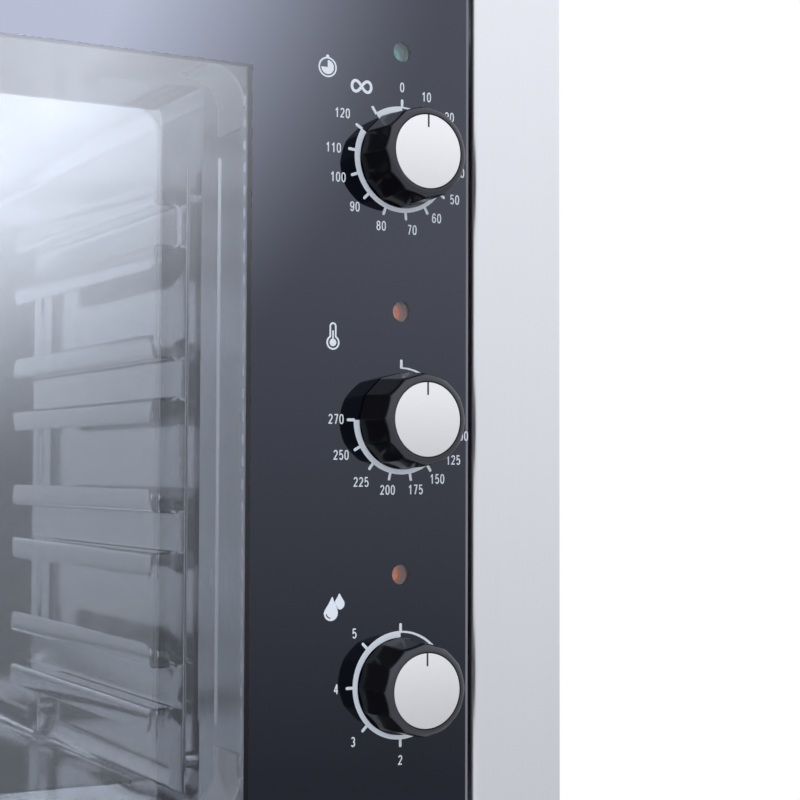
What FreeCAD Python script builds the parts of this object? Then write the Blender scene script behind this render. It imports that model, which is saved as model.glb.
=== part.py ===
"""Four-level convection oven with a full-width glass door that carries the controls.

Millimetres. +Z is up, the front faces -Y, and the origin is at the middle of the footprint.
Depths are first counted from the front of the glass (Y = 0 there) and shifted at the end,
so that the whole oven is centred on the origin.
"""
import math
import os

import FreeCAD
import Part
from FreeCAD import Vector

# Trays and the racks that hold them
TRAY_W = 460.0
TRAY_D = 330.0
LEVELS = 4
LEVEL_PITCH = 75.0
TRAY_SIDE_CLEAR = 3.8
TRAY_END_CLEAR = 6.0
RAIL_LIP = 12.5
RAIL_OPENING = 19.0
RAIL_SHEET = 1.2
RAIL_LENGTH = 228.5
RAIL_FLANGE = 12.0
RAIL_CORNER_R = 5.0
UPRIGHT_T = 2.0
UPRIGHT_W = 18.0
UPRIGHT_ABOVE = 38.0
UPRIGHT_BELOW = 40.0
STUD_L = 5.0
STUD_R = 4.0
STUD_END_INSET = 14.0
RACK_SETBACK = 23.3
TRAY_SETBACK = 24.8

# Cavity
FLOOR_CLEAR = 45.3
CEILING_CLEAR = 77.7
CAVITY_T = 1.0
CAVITY_CORNER_R = 14.0
FAN_SPACE = 66.0
INSULATION_T = 30.0

# Door: glass, panel, inner pane
GLASS_T = 5.0
PRINT_T = 0.4
PANEL_T = 1.5
INNER_GLASS_Y = 57.0
INNER_GLASS_T = 4.0
INNER_GLASS_LAP = 34.0
REAR_FLANGE = 48.0
PANEL_INSET = 4.0
WINDOW_INSET_SIDE = 14.2
WINDOW_INSET_TOP = 9.6
WINDOW_LEFT_BORDER = 57.2
DOOR_GAP = 3.0
HINGE_GAP = 8.0
VENT_SLOT_PITCH = 10.0
VENT_SLOT_L = 4.5
VENT_SLOT_W = 3.0
VENT_STRIP_D = 7.0
VENT_STRIP_T = 0.8
STOP_STRIP_D = 19.0
STOP_STRIP_GAP = 10.0

# Controls on the glass
KNOB_FROM_WINDOW = 75.2
KNOB_FROM_EDGE = 36.0
KNOB_ABOVE_FLOOR = 183.0
KNOB_PITCH = 120.0
LAMP_ABOVE_KNOB = 50.0
KNOB_SIDES = 12
KNOB_BASE_R = 22.4
KNOB_FRONT_R = 20.4
KNOB_H = 23.5
KNOB_GAP = 1.0
KNOB_RIM_H = 6.5
KNOB_RIM_R = 21.2
KNOB_CAP_R = 16.75
KNOB_CAP_T = 1.2
CAP_CLEAR = 0.25
SPINDLE_R = 3.0
SPINDLE_GRIP = 14.0
SPINDLE_DEPTH = 22.0
RUNNING_CLEAR = 0.05
BUSH_R = 5.0
BUSH_SETBACK = 1.0
HOLE_CLEAR = 0.5
CONTROL_BODY_W = 36.0
CONTROL_BODY_H = 44.0
TIMER_D = 40.0
SELECTOR_D = 32.0
REGULATOR_D = 28.0
LAMP_WINDOW_R = 4.5
LENS_R = 4.2
LENS_SETBACK = 3.8
LENS_DOME = 1.2
LENS_D = 4.0
LAMP_BODY_R = 6.5
LAMP_BODY_D = 20.0
COVER_T = 1.2
COVER_INSIDE_D = 51.0
COVER_MARGIN = 2.2
COVER_END_MARGIN = 24.0

# Handle
HANDLE_FROM_EDGE = 28.0
HANDLE_R = 10.0
HANDLE_REACH = 42.0
HANDLE_L = 340.0
POST_R = 7.0
POST_END_INSET = 30.0
POST_STUD_R = 4.0
POST_NUT_R = 9.0
POST_NUT_T = 5.0

# Hinge and catch
PIVOT_FROM_EDGE = 7.0
PIVOT_DEPTH = 6.0
PIN_R = 4.0
LEAF_T = 3.0
LEAF_GAP = 0.5
LEAF_W = 14.0
LEAF_D = 16.0
LEAF_DROP = 60.0
BRACKET_W = 24.0
BRACKET_D = 40.0
BRACKET_SETBACK = 2.0
MAGNET_W = 12.0
MAGNET_H = 50.0
CATCH_GAP = 0.3
CLIP_W = 30.0
CLIP_LAP = 4.5
CLIP_T = 1.2
CLIP_FOOT = 8.0
CLIP_END_INSET = 45.0
CORNER_CLIP_RUN = 18.0
CORNER_CLIP_DROP = 26.0
CORNER_CLIP_D = 28.0
CORNER_CLIP_T = 1.2
CORNER_CLIP_BEND_R = 16.0
CORNER_CLIP_SETBACK = 3.0

# Gasket and front frame
SEAL_GAP = 0.3
SEAL_T = 10.7
SEAL_W = 10.0
SEAL_MARGIN = 4.0
SEAL_EDGE_R = 3.0

# Casing
SHEET = 1.2
BEND_R = 3.0
STILE_W = 50.0
FOOT_H = 50.0
FOOT_R = 19.0
FOOT_PAD_R = 22.0
FOOT_PAD_H = 8.0
FOOT_INSET = 55.0
BOTTOM_RAIL = 26.0
TOP_RAIL = 18.0
UNDER_SPACE = 46.8
OVER_SPACE = 40.8
MOTOR_SPACE = 86.8
SLOT_L = 60.0
SLOT_W = 4.0
SLOT_CORNER_R = 1.8
SLOT_PITCH = 14.0
SLOT_ROWS = 8
SLOT_FROM_BACK = 60.0
SLOT_FROM_TOP = 60.0
SCREW_R = 4.0
SCREW_HEAD = 2.4
SCREW_SHANK_R = 2.0
SCREW_SHANK_L = 8.0
SCREW_INSET = 22.0
SCREW_ROWS = 4

# Fan, heater and motor
FAN_R = 95.0
FAN_EYE_R = 64.0
FAN_D = 42.0
FAN_SHEET = 1.2
FAN_BLADES = 16
FAN_BLADE_T = 1.2
FAN_BLADE_INSET = 2.0
FAN_BACK_GAP = 9.0
HUB_R = 13.0
HUB_L = 20.0
SHAFT_R = 6.0
SHAFT_HOLE_CLEAR = 4.0
NUT_R = 9.0
NUT_T = 7.0
MOTOR_R = 46.0
MOTOR_L = 62.0
MOTOR_EDGE_R = 6.0
MOTOR_PLATE_T = 3.0
MOTOR_PLATE_MARGIN = 12.0
STANDOFF_R = 5.0
STANDOFF_INSET = 9.0
ELEMENT_R = 118.0
ELEMENT_TUBE_R = 4.0
ELEMENT_BEND_R = 12.0
ELEMENT_GAPS_DEG = (11.0, 20.0)
ELEMENT_FROM_REAR = (38.0, 22.0)
ELEMENT_TAIL = 18.0
BAFFLE_T = 1.0
BAFFLE_SIDE_GAP = 26.0
BAFFLE_END_GAP = 8.0
GRILLE_RINGS = 5
GRILLE_PITCH = 15.0
GRILLE_HOLE_R = 5.0
POST_TUBE_R = 6.0
BAFFLE_POST_INSET = 24.0
THUMB_R = 9.0
THUMB_T = 7.0

# Water, steam, light and wiring
PIPE_R = 3.0
PIPE_BEND_R = 18.0
PIPE_FROM_AXIS = 150.0
PIPE_END_FROM_AXIS = 22.0
PIPE_TO_BAFFLE = 6.0
VALVE_FROM_RIGHT = 130.0
VALVE_ABOVE_BASE = 60.0
VALVE_SIZE = 34.0
INLET_R = 13.2
INLET_L = 16.0
INLET_BORE_R = 9.0
INLET_NUT_R = 18.0
INLET_NUT_T = 4.0
VENT_R = 17.5
VENT_WALL = 1.5
VENT_FROM_RIGHT = 105.0
VENT_FROM_CEILING = 45.0
VENT_REACH = 30.0
PROBE_R = 2.5
PROBE_FROM_AXIS = 160.0
PROBE_ABOVE_AXIS = 110.0
PROBE_LENGTH = 46.0
LIGHT_R = 26.0
LIGHT_RIM = 6.0
LIGHT_DOME = 9.0
LIGHT_HOUSING_H = 38.0
LIGHT_WALL = 1.5
LIGHT_FROM_RIGHT = 92.0
LIGHT_FROM_FRONT = 150.0
TERMINAL_W = 60.0
TERMINAL_D = 32.0
TERMINAL_H = 30.0
TERMINAL_FROM_BACK = 40.0
CONTACTOR_W = 46.0
CONTACTOR_D = 76.0
CONTACTOR_H = 82.0
CONTACTOR_BEHIND = 40.0
GLAND_R = 12.0
GLAND_BORE_R = 5.5
GLAND_NUT_R = 15.0
GLAND_NUT_T = 6.0
GLAND_REACH = 22.0
GLAND_INSIDE = 9.0
GLAND_FROM_RIGHT = 66.0
GLAND_ABOVE_BASE = 70.0
PART_CLEAR = 0.3

# How far a cut runs past the piece that it goes through
CUT_PAST = 1.0

# Depths, counted from the front of the glass
PRINT_Y = GLASS_T
PANEL_Y = PRINT_Y + PRINT_T
PANEL_BACK = PANEL_Y + PANEL_T
DOOR_BACK = INNER_GLASS_Y + INNER_GLASS_T
SEAL_Y = DOOR_BACK + SEAL_GAP
FRAME_Y = SEAL_Y + SEAL_T
CAVITY_Y = FRAME_Y + SHEET
RACK_Y = CAVITY_Y + RACK_SETBACK
BAFFLE_Y = CAVITY_Y + TRAY_SETBACK + TRAY_D + TRAY_END_CLEAR
REAR_Y = BAFFLE_Y + BAFFLE_T + FAN_SPACE
REAR_OUT = REAR_Y + CAVITY_T
INSULATION_BACK = REAR_OUT + INSULATION_T
BODY_D = INSULATION_BACK + MOTOR_SPACE
BACK_REACH = max(VENT_REACH, GLAND_REACH, INLET_L)
FRONT_REACH = max(HANDLE_REACH + HANDLE_R, KNOB_GAP + KNOB_H)
Y_SHIFT = 0.5 * (FRONT_REACH - BODY_D - BACK_REACH)

# Widths
CAVITY_W = TRAY_W + 2 * (TRAY_SIDE_CLEAR + RAIL_SHEET + UPRIGHT_T + STUD_L)
WINDOW_W = CAVITY_W - 2 * WINDOW_INSET_SIDE
GLASS_W = WINDOW_LEFT_BORDER + WINDOW_W + KNOB_FROM_WINDOW + KNOB_FROM_EDGE
BODY_W = GLASS_W + 2 * (DOOR_GAP + STILE_W)
HALF_W = BODY_W / 2
GLASS_X0 = -GLASS_W / 2
GLASS_X1 = GLASS_W / 2
RECESS_X = GLASS_X1 + DOOR_GAP
WINDOW_X0 = GLASS_X0 + WINDOW_LEFT_BORDER
WINDOW_X1 = WINDOW_X0 + WINDOW_W
KNOB_X = WINDOW_X1 + KNOB_FROM_WINDOW
CAVITY_X0 = WINDOW_X0 - WINDOW_INSET_SIDE
CAVITY_X1 = WINDOW_X1 + WINDOW_INSET_SIDE
AXIS_X = 0.5 * (CAVITY_X0 + CAVITY_X1)
HANDLE_X = GLASS_X0 + HANDLE_FROM_EDGE
PIVOT_X = GLASS_X1 - PIVOT_FROM_EDGE

# Heights
BASE_TOP = FOOT_H + SHEET
CAVITY_Z0 = BASE_TOP + UNDER_SPACE + INSULATION_T + CAVITY_T
CAVITY_H = FLOOR_CLEAR + (LEVELS - 1) * LEVEL_PITCH + CEILING_CLEAR
CAVITY_Z1 = CAVITY_Z0 + CAVITY_H
AXIS_Z = 0.5 * (CAVITY_Z0 + CAVITY_Z1)
COVER_UNDER = CAVITY_Z1 + CAVITY_T + INSULATION_T + OVER_SPACE
BODY_TOP = COVER_UNDER + SHEET
RECESS_Z0 = FOOT_H + BOTTOM_RAIL
RECESS_Z1 = BODY_TOP - TOP_RAIL
GLASS_Z0 = RECESS_Z0 + HINGE_GAP
GLASS_Z1 = RECESS_Z1 - HINGE_GAP
DOOR_MID_Z = 0.5 * (GLASS_Z0 + GLASS_Z1)
WINDOW_Z0 = CAVITY_Z0 + WINDOW_INSET_TOP
WINDOW_Z1 = CAVITY_Z1 - WINDOW_INSET_TOP
KNOB_Z = [CAVITY_Z0 + KNOB_ABOVE_FLOOR + k * KNOB_PITCH for k in (1, 0, -1)]
LAMP_Z = [z + LAMP_ABOVE_KNOB for z in KNOB_Z]
POST_Z = [DOOR_MID_Z + side * (HANDLE_L / 2 - POST_END_INSET) for side in (1, -1)]

X_AXIS = Vector(1, 0, 0)
Y_AXIS = Vector(0, 1, 0)
Z_AXIS = Vector(0, 0, 1)
FAN_FRONT_Y = REAR_Y - FAN_BACK_GAP - FAN_D
MOTOR_Y = INSULATION_BACK + MOTOR_PLATE_T


# Shape helpers

def block(x0, x1, y0, y1, z0, z1):
    """A box between two corners."""
    return Part.makeBox(x1 - x0, y1 - y0, z1 - z0, Vector(x0, y0, z0))


def rod(x, y, z, radius, length, axis):
    """A round bar that starts at a point and runs along an axis."""
    return Part.makeCylinder(radius, length, Vector(x, y, z), axis)


def drill(x, z, radius, y0, y1):
    """A cutting rod along Y that runs past both of its ends."""
    return rod(x, y0 - CUT_PAST, z, radius, y1 - y0 + 2 * CUT_PAST, Y_AXIS)


def cut_all(shape, tools):
    """The shape with every tool taken away."""
    return shape.cut(Part.makeCompound(tools)) if tools else shape


def fuse_all(shapes):
    """One solid from shapes that meet."""
    whole = shapes[0].multiFuse(shapes[1:])
    return whole.removeSplitter()


def ring(x0, x1, z0, z1, wide, y0, y1):
    """A flat rectangular ring round an opening."""
    outer = block(x0 - wide, x1 + wide, y0, y1, z0 - wide, z1 + wide)
    return outer.cut(block(x0, x1, y0 - CUT_PAST, y1 + CUT_PAST, z0, z1))


def bent_path(points, radius):
    """Straight runs joined by tangent arcs, as a wire."""
    edges = []
    start = points[0]
    for before, corner, after in zip(points, points[1:], points[2:]):
        into = (corner - before).normalize()
        out = (after - corner).normalize()
        reach = radius * math.tan(into.getAngle(out) / 2)
        first = corner - into * reach
        last = corner + out * reach
        bisector = (out - into).normalize()
        centre = corner + bisector * math.hypot(radius, reach)
        middle = centre - bisector * radius
        edges.append(Part.LineSegment(start, first).toShape())
        edges.append(Part.Arc(first, middle, last).toShape())
        start = last
    edges.append(Part.LineSegment(start, points[-1]).toShape())
    return Part.Wire(edges)


def tube_along(path, radius, start, direction):
    """A round bar swept along a path."""
    section = Part.Wire(Part.makeCircle(radius, start, direction))
    return path.makePipeShell([section], True, False)


def folded_sheet(points, thickness, bend, travel):
    """Sheet folded along a line in one plane and carried along a travel vector."""
    normal = Vector(travel).normalize()
    sides = []
    for side in (0.5, -0.5):
        shifted = []
        for n, point in enumerate(points):
            into = (point - points[n - 1]).normalize() if n else None
            out = (points[n + 1] - point).normalize() if n + 1 < len(points) else None
            a = normal.cross(into if into else out)
            b = normal.cross(out if out else into)
            mitre = (a + b) * (1 / (1 + a.dot(b)))
            shifted.append(point + mitre * (side * thickness))
        sides.append(shifted)
    profile = []
    for side, line in zip((0.5, -0.5), sides):
        profile.append(fold_edges(line, points, side * thickness, bend, normal))
    left, right = profile
    ends = [
        Part.LineSegment(sides[0][-1], sides[1][-1]).toShape(),
        Part.LineSegment(sides[1][0], sides[0][0]).toShape(),
    ]
    wire = Part.Wire(Part.__sortEdges__(left + right + ends))
    return Part.Face(wire).extrude(travel)


def fold_edges(line, points, offset, bend, normal):
    """One side of a folded sheet, with its bends rounded about shared centres."""
    edges = []
    start = line[0]
    for n in range(1, len(points) - 1):
        into = (points[n] - points[n - 1]).normalize()
        out = (points[n + 1] - points[n]).normalize()
        turn = normal.dot(into.cross(out))
        radius = bend - offset if turn > 0 else bend + offset
        reach = radius * math.tan(into.getAngle(out) / 2)
        first = line[n] - into * reach
        last = line[n] + out * reach
        bisector = (out - into).normalize()
        middle = line[n] + bisector * (math.hypot(radius, reach) - radius)
        edges.append(Part.LineSegment(start, first).toShape())
        edges.append(Part.Arc(first, middle, last).toShape())
        start = last
    edges.append(Part.LineSegment(start, line[-1]).toShape())
    return edges


def edges_along(shape, axis):
    """The straight edges of a shape that run along an axis."""
    found = []
    for edge in shape.Edges:
        run = edge.Vertexes[-1].Point - edge.Vertexes[0].Point
        if run.Length > 0 and abs(run.normalize().dot(axis)) > 0.999:
            found.append(edge)
    return found


def rounded_box(x0, x1, y0, y1, z0, z1, radius, axis):
    """A box whose edges along one axis are rounded."""
    box = block(x0, x1, y0, y1, z0, z1)
    return box.makeFillet(radius, edges_along(box, axis))


def mirrored(shape, x):
    """The shape mirrored across a plane of constant X."""
    return shape.mirror(Vector(x, 0, 0), X_AXIS)


# Where things pass through the rear wall and the insulation, as (x, z, radius)

def element_ends(gap_deg, from_rear):
    """The two ends of one heater ring, with the direction in which each runs on."""
    ends = []
    for side in (1, -1):
        angle = math.radians(-90 + side * gap_deg)
        point = Vector(math.cos(angle), 0, math.sin(angle)) * ELEMENT_R
        point += Vector(AXIS_X, REAR_Y - from_rear, AXIS_Z)
        onward = Vector(math.sin(angle), 0, -math.cos(angle)) * side
        ends.append((point, onward))
    return ends


def rear_holes():
    """Every hole through the rear wall of the cavity."""
    holes = [(AXIS_X, AXIS_Z, SHAFT_R + SHAFT_HOLE_CLEAR)]
    for gap_deg, from_rear in zip(ELEMENT_GAPS_DEG, ELEMENT_FROM_REAR):
        for point, onward in element_ends(gap_deg, from_rear):
            leg = point + onward * ELEMENT_BEND_R
            holes.append((leg.x, leg.z, ELEMENT_TUBE_R + PART_CLEAR))
    holes.append((AXIS_X + PIPE_FROM_AXIS, AXIS_Z, PIPE_R + PART_CLEAR))
    holes.append((VENT_X, VENT_Z, VENT_R + PART_CLEAR))
    holes.append((AXIS_X - PROBE_FROM_AXIS, AXIS_Z + PROBE_ABOVE_AXIS, PROBE_R + PART_CLEAR))
    return holes


VENT_X = CAVITY_X1 - VENT_FROM_RIGHT
VENT_Z = CAVITY_Z1 - VENT_FROM_CEILING
VALVE_X = HALF_W - VALVE_FROM_RIGHT
VALVE_Z = BASE_TOP + VALVE_ABOVE_BASE
GLAND_X = HALF_W - GLAND_FROM_RIGHT
GLAND_Z = BASE_TOP + GLAND_ABOVE_BASE
LIGHT_X = CAVITY_X1 - LIGHT_FROM_RIGHT
LIGHT_Y = CAVITY_Y + LIGHT_FROM_FRONT


# Casing

def base_pan():
    """Floor of the casing, with the folded rail under the door."""
    floor = block(-HALF_W, HALF_W, 0, BODY_D, FOOT_H, BASE_TOP)
    half = SHEET / 2
    line = [
        Vector(-RECESS_X, 2 * BEND_R, FOOT_H + half),
        Vector(-RECESS_X, half, FOOT_H + half),
        Vector(-RECESS_X, half, RECESS_Z0 - half),
        Vector(-RECESS_X, FRAME_Y, RECESS_Z0 - half),
    ]
    rail = folded_sheet(line, SHEET, BEND_R, Vector(2 * RECESS_X, 0, 0))
    corner = block(-RECESS_X, RECESS_X, 0, 2 * BEND_R, FOOT_H, BASE_TOP)
    return fuse_all([floor.cut(corner), rail])


def top_cover():
    """Lid of the casing, with the folded rail over the door."""
    lid = block(-HALF_W, HALF_W, 0, BODY_D, COVER_UNDER, BODY_TOP)
    half = SHEET / 2
    line = [
        Vector(-RECESS_X, 2 * BEND_R, BODY_TOP - half),
        Vector(-RECESS_X, half, BODY_TOP - half),
        Vector(-RECESS_X, half, RECESS_Z1 + half),
        Vector(-RECESS_X, FRAME_Y, RECESS_Z1 + half),
    ]
    rail = folded_sheet(line, SHEET, BEND_R, Vector(2 * RECESS_X, 0, 0))
    corner = block(-RECESS_X, RECESS_X, 0, 2 * BEND_R, COVER_UNDER, BODY_TOP)
    return fuse_all([lid.cut(corner), rail])


def right_side_panel():
    """Side wall folded forward into the front stile and back into the door recess."""
    half = SHEET / 2
    line = [
        Vector(RECESS_X + half, CAVITY_Y, BASE_TOP),
        Vector(RECESS_X + half, half, BASE_TOP),
        Vector(HALF_W - half, half, BASE_TOP),
        Vector(HALF_W - half, BODY_D, BASE_TOP),
    ]
    wall = folded_sheet(line, SHEET, BEND_R, Vector(0, 0, COVER_UNDER - BASE_TOP))
    return cut_all(wall, side_slots())


def side_slots():
    """Cooling slots near the back of a side wall."""
    slots = []
    y1 = BODY_D - SLOT_FROM_BACK
    for row in range(SLOT_ROWS):
        z = COVER_UNDER - SLOT_FROM_TOP - row * SLOT_PITCH
        slots.append(block(HALF_W - 2 * SHEET, HALF_W + SHEET, y1 - SLOT_L, y1, z - SLOT_W / 2, z + SLOT_W / 2))
    return slots


def back_slots():
    """Cooling slots in the back panel, on both sides of the motor."""
    slots = []
    for side in (1, -1):
        x = AXIS_X + side * (MOTOR_R + 2 * SLOT_L)
        for row in range(SLOT_ROWS):
            z = AXIS_Z - (row - (SLOT_ROWS - 1) / 2) * SLOT_PITCH
            slots.append(back_slot(x, z))
    return slots


def back_slot(x, z):
    """One round-ended slot through the back panel."""
    half = SLOT_L / 2
    return rounded_box(
        x - half, x + half, BODY_D - 2 * SHEET, BODY_D + SHEET, z - SLOT_W / 2, z + SLOT_W / 2,
        min(SLOT_CORNER_R, SLOT_W * 0.45), Y_AXIS,
    )


def back_screw_points():
    """Where the back panel is screwed to the casing, as (x, z)."""
    points = []
    run = COVER_UNDER - BASE_TOP - 2 * SCREW_INSET
    for side in (1, -1):
        for row in range(SCREW_ROWS):
            z = BASE_TOP + SCREW_INSET + run * row / (SCREW_ROWS - 1)
            points.append((side * (HALF_W - SCREW_INSET), z))
    return points


def back_panel():
    """Flat rear wall with slots and the holes for water, steam and mains."""
    wide = HALF_W - SHEET
    panel = block(-wide, wide, BODY_D - SHEET, BODY_D, BASE_TOP, COVER_UNDER)
    holes = [(VENT_X, VENT_Z, VENT_R), (VALVE_X, VALVE_Z, INLET_R), (GLAND_X, GLAND_Z, GLAND_R)]
    holes += [(x, z, SCREW_SHANK_R) for x, z in back_screw_points()]
    tools = back_slots()
    for x, z, radius in holes:
        tools.append(drill(x, z, radius + PART_CLEAR, BODY_D - SHEET, BODY_D))
    return cut_all(panel, tools)


def casing_screws():
    """Round-headed screws that hold the back panel."""
    screws = []
    for x, z in back_screw_points():
        head = rod(x, BODY_D, z, SCREW_R, SCREW_HEAD, Y_AXIS)
        rim = [e for e in head.Edges if abs(e.BoundBox.YMin - BODY_D - SCREW_HEAD) < 1e-6]
        head = head.makeFillet(SCREW_HEAD * 0.6, rim)
        shank = rod(x, BODY_D - SCREW_SHANK_L, z, SCREW_SHANK_R, SCREW_SHANK_L, Y_AXIS)
        screws.append(fuse_all([head, shank]))
    return Part.makeCompound(screws)


def feet():
    """Four round legs with wider pads."""
    legs = []
    for side in (1, -1):
        for y in (FOOT_INSET, BODY_D - FOOT_INSET):
            x = side * (HALF_W - FOOT_INSET)
            pad = rod(x, y, 0, FOOT_PAD_R, FOOT_PAD_H, Z_AXIS)
            rim = [e for e in pad.Edges if abs(e.BoundBox.ZMin - FOOT_PAD_H) < 1e-6]
            pad = pad.makeFillet(FOOT_PAD_R - FOOT_R, rim)
            leg = rod(x, y, FOOT_PAD_H / 2, FOOT_R, FOOT_H - FOOT_PAD_H / 2, Z_AXIS)
            legs.append(fuse_all([pad, leg]))
    return Part.makeCompound(legs)


def front_frame():
    """Face plate behind the door, with the mouth of the cavity."""
    plate = block(-RECESS_X, RECESS_X, FRAME_Y, CAVITY_Y, RECESS_Z0 - SHEET, RECESS_Z1 + SHEET)
    mouth = rounded_box(
        CAVITY_X0, CAVITY_X1, FRAME_Y - CUT_PAST, CAVITY_Y + CUT_PAST, CAVITY_Z0, CAVITY_Z1,
        CAVITY_CORNER_R, Y_AXIS,
    )
    return plate.cut(mouth)


def door_gasket():
    """Rubber seal round the mouth of the cavity."""
    wide = SEAL_MARGIN + SEAL_W
    outer = rounded_box(
        CAVITY_X0 - wide, CAVITY_X1 + wide, SEAL_Y, FRAME_Y, CAVITY_Z0 - wide, CAVITY_Z1 + wide,
        CAVITY_CORNER_R + wide, Y_AXIS,
    )
    inner = rounded_box(
        CAVITY_X0 - SEAL_MARGIN, CAVITY_X1 + SEAL_MARGIN, SEAL_Y - CUT_PAST, FRAME_Y + CUT_PAST,
        CAVITY_Z0 - SEAL_MARGIN, CAVITY_Z1 + SEAL_MARGIN, CAVITY_CORNER_R + SEAL_MARGIN, Y_AXIS,
    )
    seal = outer.cut(inner)
    lip = [e for e in seal.Edges if abs(e.BoundBox.YMax - SEAL_Y) < 1e-6]
    return seal.makeFillet(SEAL_EDGE_R, lip)


# Cavity

def cavity_shell():
    """Stainless box of the oven, open at the front."""
    outer = rounded_box(
        CAVITY_X0 - CAVITY_T, CAVITY_X1 + CAVITY_T, CAVITY_Y, REAR_OUT,
        CAVITY_Z0 - CAVITY_T, CAVITY_Z1 + CAVITY_T, CAVITY_CORNER_R + CAVITY_T, Y_AXIS,
    )
    inner = rounded_box(
        CAVITY_X0, CAVITY_X1, CAVITY_Y - CUT_PAST, REAR_Y, CAVITY_Z0, CAVITY_Z1, CAVITY_CORNER_R, Y_AXIS
    )
    tools = [drill(x, z, r, REAR_Y, REAR_OUT) for x, z, r in rear_holes()]
    tools.append(rod(LIGHT_X, LIGHT_Y, CAVITY_Z1 - CUT_PAST, LIGHT_R, CAVITY_T + 2 * CUT_PAST, Z_AXIS))
    return cut_all(outer.cut(inner), tools)


def insulation():
    """Mineral wool packed round five sides of the cavity."""
    gap = CAVITY_T
    thick = CAVITY_T + INSULATION_T
    outer = block(
        CAVITY_X0 - thick, CAVITY_X1 + thick, CAVITY_Y, INSULATION_BACK, CAVITY_Z0 - thick, CAVITY_Z1 + thick
    )
    inner = block(
        CAVITY_X0 - gap, CAVITY_X1 + gap, CAVITY_Y - CUT_PAST, REAR_OUT, CAVITY_Z0 - gap, CAVITY_Z1 + gap
    )
    tools = [drill(x, z, r, REAR_OUT, INSULATION_BACK) for x, z, r in rear_holes()]
    for x, z in standoff_points():
        tools.append(drill(x, z, STANDOFF_R + PART_CLEAR, REAR_OUT, INSULATION_BACK))
    light_hole = LIGHT_R + LIGHT_RIM + PART_CLEAR
    tools.append(rod(LIGHT_X, LIGHT_Y, CAVITY_Z1, light_hole, thick + CUT_PAST, Z_AXIS))
    return cut_all(outer.cut(inner), tools)


def level_heights():
    """The seat height of each tray level."""
    return [CAVITY_Z0 + FLOOR_CLEAR + n * LEVEL_PITCH for n in range(LEVELS)]


def right_rack():
    """Two uprights with a folded channel spot-welded between them at each level."""
    wall = CAVITY_X1 - STUD_L
    face = wall - UPRIGHT_T
    top = level_heights()[-1] + UPRIGHT_ABOVE
    low = level_heights()[0] - UPRIGHT_BELOW
    pieces = []
    for y in upright_starts():
        pieces.append(block(face, wall, y, y + UPRIGHT_W, low, top))
    for seat in level_heights():
        pieces.append(fuse_all(rail_pieces(face, seat)))
    return Part.makeCompound(pieces)


def upright_starts():
    """Where the front and the rear upright of a rack begin."""
    return [RACK_Y, RACK_Y + RAIL_LENGTH]


def rail_pieces(face, seat):
    """The web, lips and flanges of one tray channel, with rounded corners on the flanges."""
    inner = face - RAIL_SHEET
    edge = inner - RAIL_LIP
    y0 = RACK_Y + UPRIGHT_W / 2
    y1 = y0 + RAIL_LENGTH
    top = seat + RAIL_OPENING
    pieces = [block(inner, face, y0, y1, seat - RAIL_SHEET, top + RAIL_SHEET)]
    for lip_z, flange_z, free_z in (
        (seat - RAIL_SHEET, seat - RAIL_FLANGE, seat - RAIL_FLANGE),
        (top, top, top + RAIL_FLANGE),
    ):
        pieces.append(block(edge, inner, y0, y1, lip_z, lip_z + RAIL_SHEET))
        flange = block(edge, edge + RAIL_SHEET, y0, y1, flange_z, flange_z + RAIL_FLANGE)
        corners = [e for e in edges_along(flange, X_AXIS) if abs(e.BoundBox.ZMin - free_z) < 1e-6]
        pieces.append(flange.makeFillet(RAIL_CORNER_R, corners))
    return pieces


def rack_studs():
    """Short welded studs that hold the racks off the side walls."""
    studs = []
    top = level_heights()[-1] + UPRIGHT_ABOVE - STUD_END_INSET
    low = level_heights()[0] - UPRIGHT_BELOW + STUD_END_INSET
    for y in upright_starts():
        for z in (low, top):
            right = rod(CAVITY_X1 - STUD_L, y + UPRIGHT_W / 2, z, STUD_R, STUD_L, X_AXIS)
            studs += [right, mirrored(right, AXIS_X)]
    return Part.makeCompound(studs)


# Fan, heater and motor

def baffle_post_points():
    """Where the fan baffle stands on its posts, as (x, z)."""
    half_w = CAVITY_W / 2 - BAFFLE_SIDE_GAP - BAFFLE_POST_INSET
    half_h = CAVITY_H / 2 - BAFFLE_END_GAP - BAFFLE_POST_INSET
    return [(AXIS_X + i * half_w, AXIS_Z + k * half_h) for i in (1, -1) for k in (1, -1)]


def fan_baffle():
    """Sheet in front of the fan, with a round grille in the middle."""
    sheet = rounded_box(
        CAVITY_X0 + BAFFLE_SIDE_GAP, CAVITY_X1 - BAFFLE_SIDE_GAP, BAFFLE_Y, BAFFLE_Y + BAFFLE_T,
        CAVITY_Z0 + BAFFLE_END_GAP, CAVITY_Z1 - BAFFLE_END_GAP, CAVITY_CORNER_R, Y_AXIS,
    )
    baffle_back = BAFFLE_Y + BAFFLE_T
    tools = [drill(AXIS_X, AXIS_Z, GRILLE_HOLE_R, BAFFLE_Y, baffle_back)]
    for number in range(1, GRILLE_RINGS + 1):
        count = 6 * number
        for step in range(count):
            angle = 2 * math.pi * step / count
            x = AXIS_X + number * GRILLE_PITCH * math.cos(angle)
            z = AXIS_Z + number * GRILLE_PITCH * math.sin(angle)
            tools.append(drill(x, z, GRILLE_HOLE_R, BAFFLE_Y, baffle_back))
    for x, z in baffle_post_points():
        tools.append(drill(x, z, SCREW_SHANK_R + PART_CLEAR, BAFFLE_Y, baffle_back))
    return cut_all(sheet, tools)


def baffle_posts():
    """Posts on the rear wall that carry the baffle."""
    length = FAN_SPACE
    posts = []
    for x, z in baffle_post_points():
        post = rod(x, BAFFLE_Y + BAFFLE_T, z, POST_TUBE_R, length, Y_AXIS)
        posts.append(post.cut(rod(x, BAFFLE_Y, z, SCREW_SHANK_R + PART_CLEAR, length / 2, Y_AXIS)))
    return Part.makeCompound(posts)


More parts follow.
